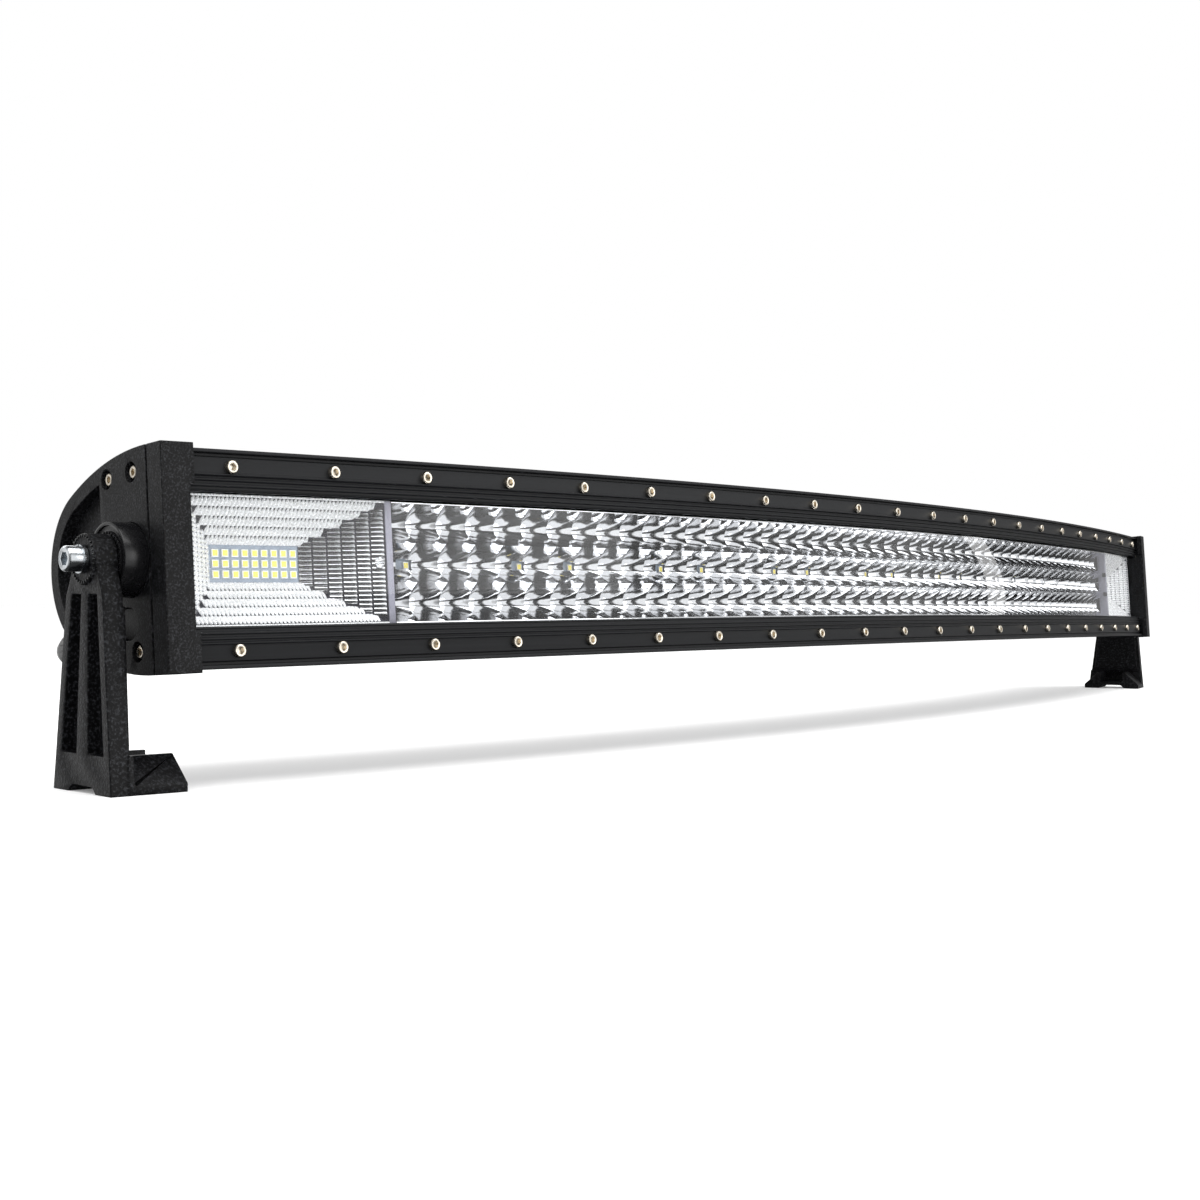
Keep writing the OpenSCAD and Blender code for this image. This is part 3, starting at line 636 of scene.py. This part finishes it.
def trimmed(mesh, start, end):
    """Cuts a straight mesh off square at two places along the bar, and merges its seams."""
    build = bmesh.new()
    build.from_mesh(mesh)
    for place, outward in ((start, -1), (end, 1)):
        bmesh.ops.bisect_plane(
            build, geom=[*build.verts, *build.edges, *build.faces], plane_co=(place, 0, 0),
            plane_no=(outward, 0, 0), clear_outer=True)
    bmesh.ops.remove_doubles(build, verts=build.verts, dist=0.01 * mm)
    return drawn(build, "trimmed")


def thickened(mesh, thickness):
    """Gives a one-sided wall its thickness, behind its bright face."""
    host = hosted(mesh)
    wall = host.modifiers.new("wall", "SOLIDIFY")
    wall.thickness = thickness
    wall.offset = -1
    return settled(host)


def joined(*meshes):
    """Several meshes as one."""
    build = bmesh.new()
    for mesh in meshes:
        build.from_mesh(mesh)
    return drawn(build, "joined")


def block(low, high, edge):
    """A block between two corners in millimetres, with its edges broken."""
    build = bmesh.new()
    size = Vector(high) - Vector(low)
    middle = (Vector(high) + Vector(low)) / 2
    bmesh.ops.create_cube(
        build, size=1, matrix=Matrix.Translation(middle) @ Matrix.Diagonal((*size, 1)))
    bmesh.ops.bevel(build, geom=build.edges[:], offset=edge, segments=2, profile=0.5, affect="EDGES")
    bmesh.ops.transform(build, matrix=Matrix.Scale(mm, 4), verts=build.verts)
    return creased(drawn(build, "block"))


scoop_count = 50
middle_end = 439
wall_thickness = 0.7
scoops = grown(
    rows_of_pieces, Piece=bpy.data.objects.new("scoop", scoop_mesh()), Columns=scoop_count, Rows=3,
    Pitch=scoop_pitch * mm, RowPitch=row_pitch * mm,
    First=((first_cusp - scoop_pitch) * mm, 0, -row_pitch * mm), Spin=0.0, Seed=0, Material=mirror)
scoops = trimmed(opened(scoops), -middle_end * mm, middle_end * mm)
scoops = thickened(scoops, wall_thickness * mm)
rims = [swept([(9, side * 25.8), (12, side * 25.8), (12, side * 26.8), (9, side * 26.8)],
              -middle_end, middle_end, mirror, 0.2) for side in (-1, 1)]
fit("middle_reflector", joined(creased(bent(scoops), 32), *rims), mirror, "light",
    "reflector_metallised", "reflector_centre")


# --- End reflectors ------------------------------------------------------------------------
# At each end a tapering tray spreads the light of 27 LEDs. Its four walls are covered with small
# arched pads in terraces that climb from the window to the mouth. The long inner wall has six.

# Metallised plastic with a satin mould finish: silver-white, with soft reflections.
satin = clouded("satin_metallised_plastic", 1.43, ("f2f3f4", "fdfdfd"), (0.2, 0.34), metallic=0.4)
window_depth = 24.4
mouth_depth = 9.3
window_arcs = (-522.8, -478.5)
mouth_arcs = (-541, -443)
window_half = 7.8
mouth_half = 25.8
pad_pitch = 1.95
pad_height = 0.7
pad_margin = 0.15
plate_thickness = 0.8


def pad_mesh(length, cover, tip):
    """An arched pad, x across it and y up the wall: it rises from its foot and narrows to a tip."""
    profile = [(-0.5, 0), (-0.27, 0.78), (0, 1), (0.27, 0.78), (0.5, 0)]
    rings = [(-0.49, 1, 0.3), (cover - 0.85, 1, 0.9), (cover - 0.49, tip, 1)]
    verts = [(x * pad_pitch * width, y * length, z * pad_height * lift)
             for y, width, lift in rings for x, z in profile]
    faces = [(4, 3, 2, 1, 0), (10, 11, 12, 13, 14)]
    for r in (0, 5):
        faces += [(r + n, r + n + 1, r + n + 6, r + n + 5) for n in range(4)]
        faces.append((r, r + 5, r + 9, r + 4))
    mesh = bpy.data.meshes.new("pad")
    mesh.from_pydata([tuple(c * mm for c in v) for v in verts], [], faces)
    return creased(mesh, 40)


def pad_tree():
    """Covers a wall that widens evenly with whole pads; x runs along its foot and y up the wall."""
    tree, given = grow_tree(
        "terraces_of_pads", Pad="Object", Columns="Int", Terraces="Int", Width="Float", Climb="Float",
        FootStart="Float", FootEnd="Float", MouthStart="Float", MouthEnd="Float", Margin="Float",
        Material="Material")

    def maths(operation, a, b):
        return add(tree, "ShaderNodeMath", {0: a, 1: b}, operation=operation).outputs[0]

    step = maths("DIVIDE", given["Climb"], given["Terraces"])
    tall = maths("SUBTRACT", given["Climb"], step)
    grid = add(tree, "GeometryNodeMeshGrid", {
        "Size X": given["Width"], "Size Y": tall,
        "Vertices X": given["Columns"], "Vertices Y": given["Terraces"]})
    middle = maths("MULTIPLY", maths("ADD", given["MouthStart"], given["MouthEnd"]), 0.5)
    half_climb = maths("MULTIPLY", given["Climb"], 0.5)
    centre = add(tree, "ShaderNodeCombineXYZ", {"X": middle, "Y": half_climb}).outputs[0]
    spots = add(tree, "GeometryNodeTransform", {0: grid.outputs[0], "Translation": centre})
    place = add(tree, "ShaderNodeSeparateXYZ", {0: add(tree, "GeometryNodeInputPosition").outputs[0]})
    rise = maths("DIVIDE", place.outputs["Y"], given["Climb"])
    fall = maths("SUBTRACT", 1.0, rise)
    left = maths("ADD", maths("MULTIPLY", given["FootStart"], fall),
                 maths("MULTIPLY", given["MouthStart"], rise))
    right = maths("ADD", maths("MULTIPLY", given["FootEnd"], fall),
                  maths("MULTIPLY", given["MouthEnd"], rise))
    past_left = maths("LESS_THAN", place.outputs["X"], maths("ADD", left, given["Margin"]))
    past_right = maths("GREATER_THAN", place.outputs["X"], maths("SUBTRACT", right, given["Margin"]))
    outside = maths("MAXIMUM", past_left, past_right)
    kept = add(tree, "GeometryNodeDeleteGeometry", {0: spots.outputs[0], "Selection": outside})
    pad = add(tree, "GeometryNodeObjectInfo", {"Object": given["Pad"]})
    placed = add(tree, "GeometryNodeInstanceOnPoints", {
        "Points": kept.outputs[0], "Instance": pad.outputs["Geometry"]})
    grow_end(tree, placed.outputs[0], given["Material"])
    return tree


terraces_of_pads = pad_tree()


def padded_wall(foot, mouth, terraces, cover, tip, material):
    """The pads and the plate of one tray wall between its foot and mouth edges, two corners each."""
    foot, mouth = [Vector(c) for c in foot], [Vector(c) for c in mouth]
    across = (mouth[1] - mouth[0]).normalized()
    climb = mouth[0] - foot[0]
    climb -= climb.dot(across) * across
    inward = across.cross(climb.normalized())
    place = Matrix((across, climb.normalized(), inward)).transposed().to_4x4()
    place.translation = foot[0] * mm
    ends = [(corner - foot[0]).dot(across) for corner in (foot[0], foot[1], mouth[0], mouth[1])]
    width = ends[3] - ends[2]
    columns = int(width / pad_pitch)
    pad = bpy.data.objects.new("pad", pad_mesh(climb.length / terraces, cover, tip))
    pads = grown(
        terraces_of_pads, Pad=pad, Columns=columns, Terraces=terraces,
        Width=(columns - 1) * pad_pitch * mm, Climb=climb.length * mm,
        FootStart=ends[0] * mm, FootEnd=ends[1] * mm, MouthStart=ends[2] * mm,
        MouthEnd=ends[3] * mm, Margin=pad_margin * pad_pitch * mm, Material=material)
    pads.transform(place)
    plate = bpy.data.meshes.new("plate")
    plate.from_pydata([c * mm for c in (*foot, mouth[1], mouth[0])], [], [(0, 1, 2, 3)])
    return pads, thickened(plate, plate_thickness * mm)


def tray_meshes():
    """The left-hand tray drawn straight: its pads and rim, its inner wall's pads and its plates."""
    (foot_a, foot_b), (mouth_a, mouth_b) = window_arcs, mouth_arcs
    foot = [(foot_a, window_depth, -window_half), (foot_b, window_depth, -window_half),
            (foot_b, window_depth, window_half), (foot_a, window_depth, window_half)]
    mouth = [(mouth_a, mouth_depth, -mouth_half), (mouth_b, mouth_depth, -mouth_half),
             (mouth_b, mouth_depth, mouth_half), (mouth_a, mouth_depth, mouth_half)]
    outer, inner = (5, 0.98, 0.4, satin), (6, 0.85, 0.95, mirror)
    walls = []
    for n, kind in enumerate((outer, inner, outer, outer)):
        m = (n + 1) % 4
        walls.append(padded_wall((foot[m], foot[n]), (mouth[m], mouth[n]), *kind))
    parts = [walls[0][0], walls[2][0], walls[3][0]]
    start, stop, half = mouth_a - 3.4, mouth_b + 3.6, 26.8
    front, rear = mouth_depth - 0.1, mouth_depth + 1.2
    parts += [
        block((start, front, mouth_half - 0.1), (stop, rear, half), 0.2),
        block((start, front, -half), (stop, rear, 0.1 - mouth_half), 0.2),
        block((start, front, -mouth_half), (mouth_a + 0.1, rear, mouth_half), 0.2)]
    return joined(*parts), walls[1][0], joined(*[plate for pads, plate in walls])


def clear_acrylic():
    """Clear moulded acrylic: it mirrors and bends what stands behind it."""
    material, tree, shader = surface("clear_acrylic")
    place = add(tree, "ShaderNodeTexCoord").outputs["Object"]
    haze_mm = 3.33
    haze = add(tree, "ShaderNodeTexNoise", {
        "Vector": place, "Scale": 1 / (haze_mm * mm), "Detail": 2})
    gloss = add(tree, "ShaderNodeMapRange", {
        "Value": haze.outputs[0], "To Min": 0.01, "To Max": 0.06})
    tree.links.new(gloss.outputs[0], shader.inputs["Roughness"])
    shader.inputs["Base Color"].default_value = (0.97, 0.98, 0.98, 1)
    shader.inputs["Transmission Weight"].default_value = 1
    shader.inputs["IOR"].default_value = 1.49
    return material


def mirrored(mesh):
    """The right-hand twin of a left-hand mesh."""
    twin = mesh.copy()
    twin.transform(Matrix.Diagonal((-1, 1, 1, 1)))
    twin.flip_normals()
    return twin


# The plates between the pads, in a dark metal: painted shade, standing for the dark that the real
# metallised grooves give back.
painted_shade_metal = clouded("dark_plate_metal_painted_shade", 1.67, ("2b2b30", "4a4a52"), 0.3, metallic=1, detail=2)
# The bare edge of the reflector moulding: pale grey-lilac plastic, satin.
divider = clouded("pale_grey_moulded_plastic", 2, ("7d7c88", "a09fac"), 0.4, (0.3, 0.05))
acrylic = clear_acrylic()
left_tray, left_wall, left_plates = tray_meshes()
left_divider = block((-442.7, mouth_depth - 0.2, -26.6), (-439.2, mouth_depth + 6, 26.6), 0.25)
clip_level, clip_half = 8, 1.6
left_clips = joined(*[
    block((-439.0, 8.7, level - clip_half), (-437.6, 11.5, level + clip_half), 0.3)
    for level in (-clip_level, clip_level)])
post_rings = [(0, 9.1, 0), (1.2, 9.15, 0), (2.1, 9.35, 0), (2.5, 9.9, 0), (2.5, 24.5, 0), (0, 24.5, 0)]
post_arc = 445.4
for side, mirror_it in (("left", False), ("right", True)):
    for name, shape, material, slot, nodes in (
            ("flood_tray", left_tray, satin, "reflector_metallised", [f"reflector_flood_{side}"]),
            ("tray_inner_wall", left_wall, mirror, "reflector_metallised", []),
            # The plates between the pads carry the painted shade of the grooves.
            ("tray_grooves", left_plates, painted_shade_metal, "reflector_metallised", []),
            ("tray_divider", left_divider, divider, "reflector_metallised", []),
            ("tray_clips", left_clips, rubber, "gasket_rubber", [])):
        mesh = mirrored(shape) if mirror_it else shape.copy()
        fit(f"{name}_{side}", creased(bent(mesh), 40), material, "light", slot, *nodes)
posts = []
for sign in (-1, 1):
    post = turned(post_rings, 24)
    post.transform(Matrix.Translation((sign * post_arc * mm, 0, 0)))
    posts.append(post)
fit("tray_posts", creased(bent(joined(*posts))), acrylic, "light", "post_clear", "reflector_posts")


# --- LED boards and LEDs -------------------------------------------------------------------
# Aluminium-cored boards with a pale solder mask carry surface-mount LEDs, white packages 3.2 mm
# square with a yellow phosphor fill, nine by three at each end and sixteen along the middle.

def board_lacquer(name, track_mm, tones, roughness):
    """Solder mask on a circuit board: even, slightly glossy, with faint tracks beneath."""
    material, tree, shader = surface(name)
    place = add(tree, "ShaderNodeTexCoord").outputs["Object"]
    tracks = add(tree, "ShaderNodeTexVoronoi", {
        "Vector": place, "Scale": 1 / (track_mm * mm)}, distance="MANHATTAN")
    tone = add(tree, "ShaderNodeMix", {
        0: tracks.outputs["Distance"], 6: linear(tones[0]), 7: linear(tones[1])}, data_type="RGBA")
    tree.links.new(tone.outputs[2], shader.inputs["Base Color"])
    shader.inputs["Roughness"].default_value = roughness
    return material


def phosphor_gel():
    """Yellow phosphor in clear silicone: glossy, warmer towards its middle."""
    material = clouded("yellow_phosphor_silicone", 1.11, ("ffdf3c", "fff27e"), 0.25)
    shader = material.node_tree.nodes["Principled BSDF"]
    shader.inputs["Subsurface Weight"].default_value = 0.1
    shader.inputs["Subsurface Radius"].default_value = (0.4 * mm, 0.3 * mm, 0.1 * mm)
    shader.inputs["Subsurface Scale"].default_value = 1
    return material


# Pale blue-grey solder mask over aluminium.
mask = board_lacquer("pale_solder_mask", 6.67, ("7f8c9d", "99a5b3"), 0.35)
for node in ("led_board_left", "led_board_right", "led_board_centre"):
    paint_node(node, mask)
# White heat-resistant plastic of an LED package: clean and matt.
package_white = clouded("white_led_package", 4, ("f1f2ee", "ffffff"), 0.45, detail=2)
phosphor = phosphor_gel()
led_half = 1.6
fill_half = 1.16


def square_rings(rings):
    """Nested squares of (half side, depth), joined and closed, from the front to the back."""
    build = bmesh.new()
    loops = [[build.verts.new((x * half * mm, depth * mm, z * half * mm))
              for x, z in ((-1, -1), (1, -1), (1, 1), (-1, 1))] for half, depth in rings]
    for first, second in zip(loops, loops[1:]):
        for n in range(4):
            build.faces.new((first[n], first[(n + 1) % 4], second[(n + 1) % 4], second[n]))
    build.faces.new(loops[0])
    build.faces.new(loops[-1])
    bmesh.ops.recalc_face_normals(build, faces=build.faces)
    return drawn(build, "squares")


led_front = 24.0
package = bpy.data.objects.new("package", square_rings(
    [(fill_half, led_front + 0.16), (fill_half + 0.1, led_front + 0.02), (led_half - 0.12, led_front),
     (led_half, led_front + 0.12), (led_half, led_front + 0.78)]))
fill_edge = fill_half - 0.02
fill = bpy.data.objects.new("fill", square_rings(
    [(fill_half * 0.7, led_front + 0.03), (fill_edge, led_front + 0.07), (fill_edge, led_front + 0.3)]))


def led_group(name, slot_node, columns, rows, pitch, rise, firsts, side_sign):
    """A grid of LEDs, on the left unless side_sign is above 0: packages and fills as two pieces."""
    for part, piece, material in (("packages", package, package_white), ("phosphor", fill, phosphor)):
        meshes = [grown(rows_of_pieces, Piece=piece, Columns=columns, Rows=rows, Pitch=pitch * mm,
                        RowPitch=rise * mm, First=(first * mm, 0, -(rows - 1) / 2 * rise * mm),
                        Spin=0.0, Seed=0, Material=material) for first in firsts]
        mesh = joined(*meshes)
        if side_sign > 0:
            mesh = mirrored(mesh)
        nodes = [slot_node] if part == "packages" else []
        fit(f"{name}_{part}", creased(bent(mesh)), material, "light", "led_phosphor", *nodes)


flood_pitch, flood_rise = 4.8, 4.4
flood_first = sum(window_arcs) / 2 - 4 * flood_pitch
for side, sign in (("left", -1), ("right", 1)):
    led_group(f"{side}_leds", f"leds_{side}", 9, 3, flood_pitch, flood_rise, [flood_first], sign)
middle_first = first_cusp + lamp_offset
led_group("middle_leds", "leds_centre", lamp_rounds, 1, lamp_round * scoop_pitch, 1,
          [middle_first, middle_first + lamp_skip * scoop_pitch], -1)

# Green solder mask on the driver board inside the duct.
paint_node("driver_board", board_lacquer("green_solder_mask", 3.85, ("0f4a26", "1f6b3a"), 0.3))
paint_node("board_screws", nickel)


# --- End caps ------------------------------------------------------------------------------
# Die-cast aluminium covers, sand-textured powder coat. A flange wraps the front of the bezels,
# a groove sets it off from the D-shaped plate, and four sunk screws hold the plate on its gasket.

def sand_coat(name, grain_mm, dark, light, depth_mm, low, high):
    """Black textured powder coat: matt, with hard little grains; the raised grains are painted in the
    lighter tone, a painted highlight for the light they catch.
    """
    patch_mm = 22.2
    material, tree, shader = surface(name)
    place = add(tree, "ShaderNodeTexCoord").outputs["Object"]
    grains = add(tree, "ShaderNodeTexNoise", {
        "Vector": place, "Scale": 1 / (grain_mm * mm), "Detail": 3, "Roughness": 0.6})
    broad = add(tree, "ShaderNodeTexNoise", {
        "Vector": place, "Scale": 1 / (patch_mm * mm), "Detail": 2})
    grain_top_highlight = add(tree, "ShaderNodeMapRange", {
        # Painted highlight: the raised tops of the grains take the lighter tone.
        "Value": grains.outputs[0], "From Min": 0.5, "From Max": 0.68, "To Min": 0, "To Max": 1})
    tone = add(tree, "ShaderNodeMix", {
        0: grain_top_highlight.outputs[0], 6: linear(dark), 7: linear(light)}, data_type="RGBA")
    gloss = add(tree, "ShaderNodeMapRange", {
        "Value": broad.outputs[0], "To Min": low, "To Max": high})
    bump = add(tree, "ShaderNodeBump", {
        "Strength": 0.8, "Distance": depth_mm * mm, "Height": grains.outputs[0]})
    tree.links.new(tone.outputs[2], shader.inputs["Base Color"])
    tree.links.new(gloss.outputs[0], shader.inputs["Roughness"])
    tree.links.new(bump.outputs[0], shader.inputs["Normal"])
    shader.inputs["Specular IOR Level"].default_value = 0.16
    return material


# The raised grains of this coat carry a painted highlight.
cap_coat = sand_coat("sanded_powder_coat", 0.8, "060607", "2b2c2f", 0.16, 0.36, 0.5)
sharp_angle = 32
merge_gap = 0.004
flat_angle = 0.6


def eased(node, width):
    """A merged copy of a CAD node with its sharp edges rounded, as paint rounds them."""
    build = bmesh.new()
    build.from_mesh(frame["nodes"][node].data)
    bmesh.ops.remove_doubles(build, verts=build.verts, dist=merge_gap * mm)
    bmesh.ops.dissolve_limit(
        build, angle_limit=math.radians(flat_angle), verts=build.verts, edges=build.edges)
    host = hosted(drawn(build, "eased"))
    bevel = host.modifiers.new("edge", "BEVEL")
    bevel.width = width * mm
    bevel.segments = 2
    bevel.limit_method = "ANGLE"
    bevel.angle_limit = math.radians(sharp_angle)
    bevel.use_clamp_overlap = False
    return creased(settled(host))


for side in ("left", "right"):
    fit(f"end_cap_casting_{side}", eased(f"end_cap_{side}", 0.3), cap_coat,
        "light", "cap_black", f"end_cap_{side}")

cap_screw_spots = [(19.5, 35.3), (39, 34.5), (19.5, -35.3), (39, -34.5)]
cap_screw_rest = 0.9
for side in ("left", "right"):
    sunk = []
    for depth, level in cap_screw_spots:
        one = screw_mesh.copy()
        one.transform(Matrix.Translation((-end_arc + cap_screw_rest * mm, depth * mm, level * mm))
                      @ Matrix.Rotation(math.radians(-90), 4, "Z")
                      @ Matrix.Rotation(math.radians(7 * depth), 4, "Y"))
        sunk.append(one)
    mesh = joined(*sunk) if side == "left" else mirrored(joined(*sunk))
    fit(f"cap_screws_{side}", creased(bent(mesh)), nickel, "light", "screw_steel",
        f"end_cap_screws_{side}")


# --- Pivot hubs, bolts and washers ---------------------------------------------------------
# A turned hub sits in each cap, with a ring of fine teeth that locks the bracket's angle. An M6
# socket head bolt in bright zinc and a split washer clamp the bracket to it.

def ring_tree():
    """Sets a piece at even steps round a ring about y, each facing outwards."""
    tree, given = grow_tree("ring_of_pieces", Piece="Object", Count="Int", Radius="Float",
                            Depth="Float", Material="Material")
    circle = add(tree, "GeometryNodeMeshCircle", {
        "Vertices": given["Count"], "Radius": given["Radius"]})
    lift = add(tree, "ShaderNodeCombineXYZ", {"Y": given["Depth"]})
    ring = add(tree, "GeometryNodeTransform", {
        0: circle.outputs[0], "Translation": lift.outputs[0], "Rotation": (math.pi / 2, 0, 0)})
    index = add(tree, "GeometryNodeInputIndex").outputs[0]
    share = add(tree, "ShaderNodeMath", {0: index, 1: given["Count"]}, operation="DIVIDE")
    turn = add(tree, "ShaderNodeMath", {0: share.outputs[0], 1: -2 * math.pi}, operation="MULTIPLY")
    facing = add(tree, "ShaderNodeCombineXYZ", {"Y": turn.outputs[0]})
    piece = add(tree, "GeometryNodeObjectInfo", {"Object": given["Piece"]})
    placed = add(tree, "GeometryNodeInstanceOnPoints", {
        "Points": ring.outputs[0], "Instance": piece.outputs["Geometry"],
        "Rotation": facing.outputs[0]})
    grow_end(tree, placed.outputs[0], given["Material"])
    return tree


ring_of_pieces = ring_tree()
# Bright zinc plate: cool silver, a little cloudy, glossy.
zinc = clouded("bright_zinc_plate", 2.86, ("c3c9cf", "eef1f3"), (0.14, 0.3), metallic=1)
# Black stoving enamel on the turned hub: smoother and glossier than the castings.
enamel = clouded("black_stoving_enamel", 2, ("09090a", "161618"), (0.2, 0.32), (0.3, 0.04))
left_pivot = Matrix.Translation(pivot) @ Matrix.Rotation(-splay, 4, "Z")


def pivot_piece(name, mesh, material, body, slot, side, *nodes):
    """Places a piece drawn about y on the left or right bolt axis, y pointing into the bar."""
    mesh = mesh.copy()
    mesh.transform(left_pivot @ Matrix.Rotation(math.radians(-90), 4, "Z"))
    if side == "right":
        mesh = mirrored(mesh)
    return fit(f"{name}_{side}", creased(mesh), material, body, slot, *nodes)


tooth = bpy.data.objects.new("tooth", block((-0.5, -0.42, -0.36), (0.5, 0.3, 0.36), 0.18))
tooth_count = 32
hub_face = -10
hub_tooth_radius = 10.45
hub_outline = [(3.1, 1.2), (3.1, hub_face), (11.0, hub_face), (11.0, -8.8), (13.2, -8.8),
               (13.2, hub_face), (14.75, hub_face), (14.75, 1.2)]
hub_rings = [(radius, depth, 0) for radius, depth in softened(hub_outline, 0.45)]
hub_mesh = turned(hub_rings + hub_rings[:1], 72)
hub_teeth = grown(ring_of_pieces, Piece=tooth, Count=tooth_count, Radius=hub_tooth_radius * mm,
                  Depth=hub_face * mm, Material=cap_coat)
bolt_mesh = turned(
    [(0, -24.2, 0), (2.75, -24.0, 1), (2.9, -27.7, 1), (3.25, -27.9, 0), (4.2, -27.9, 0),
     (4.7, -27.65, 0), (5.0, -27.0, 0), (5.0, -21.9, 0), (3.0, -21.9, 0), (3.0, 8.5, 0),
     (0, 8.5, 0)], 36)
for side in ("left", "right"):
    pivot_piece("pivot_hub_turning", hub_mesh, enamel, "light", "cap_black", side, f"pivot_hub_{side}")
    pivot_piece("hub_teeth", hub_teeth, cap_coat, "light", "cap_black", side)
    pivot_piece("pivot_bolt_head", bolt_mesh, zinc, "light", "bolt_zinc", side, f"pivot_bolt_{side}")
    paint_node(f"spring_washer_{side}", zinc)


# --- Brackets ------------------------------------------------------------------------------
# Each bracket is one casting with a coarse textured coat: a toothed boss, an arm lightened by
# two channels, and a foot whose wings slope up to a pocket for the mounting bolt.

# The raised grains of this coat carry a painted highlight.
casting_coat = sand_coat("coarse_powder_coat", 1.1, "060607", "2c2d30", 0.3, 0.32, 0.46)
boss_face = -20.15
boss_tooth_radius = 9
boss_teeth = grown(ring_of_pieces, Piece=tooth, Count=tooth_count, Radius=boss_tooth_radius * mm,
                   Depth=boss_face * mm, Material=enamel)
for side in ("left", "right"):
    fit(f"bracket_casting_{side}", eased(f"bracket_{side}", 0.45), casting_coat, f"{side}_bracket",
        "bracket_black", f"bracket_{side}")
    pivot_piece("boss_teeth", boss_teeth, enamel, f"{side}_bracket", "bracket_black", side)


# --- Cable gland ---------------------------------------------------------------------------
# A black nylon gland screws into the rear of the left cap. Its domed nut has grip ribs and
# squeezes a rubber seal on to the cable.

# Moulded black nylon: smooth, with a soft sheen.
nylon = clouded("moulded_black_nylon", 4.55, ("141415", "232324"), (0.22, 0.36))
fit("gland_hexagon", eased("gland_body", 0.35), nylon, "light", "gland_nylon", "gland_body")
fit("gland_dome", eased("gland_nut", 0.35), nylon, "light", "gland_nylon", "gland_nut")
gland_arc = 6.4 * mm - end_arc
gland_level = -32 * mm
rib_count = 18
rib_radius = 7.75
rib_start = 72.6
rib = bpy.data.objects.new("rib", block((-0.5, 0, -0.55), (0.28, 9.5, 0.55), 0.2))
ribs = grown(ring_of_pieces, Piece=rib, Count=rib_count, Radius=rib_radius * mm,
             Depth=rib_start * mm, Material=nylon)
ribs.transform(Matrix.Translation((gland_arc, 0, gland_level)))
fit("gland_ribs", creased(bent(ribs)), nylon, "light", "gland_nylon")
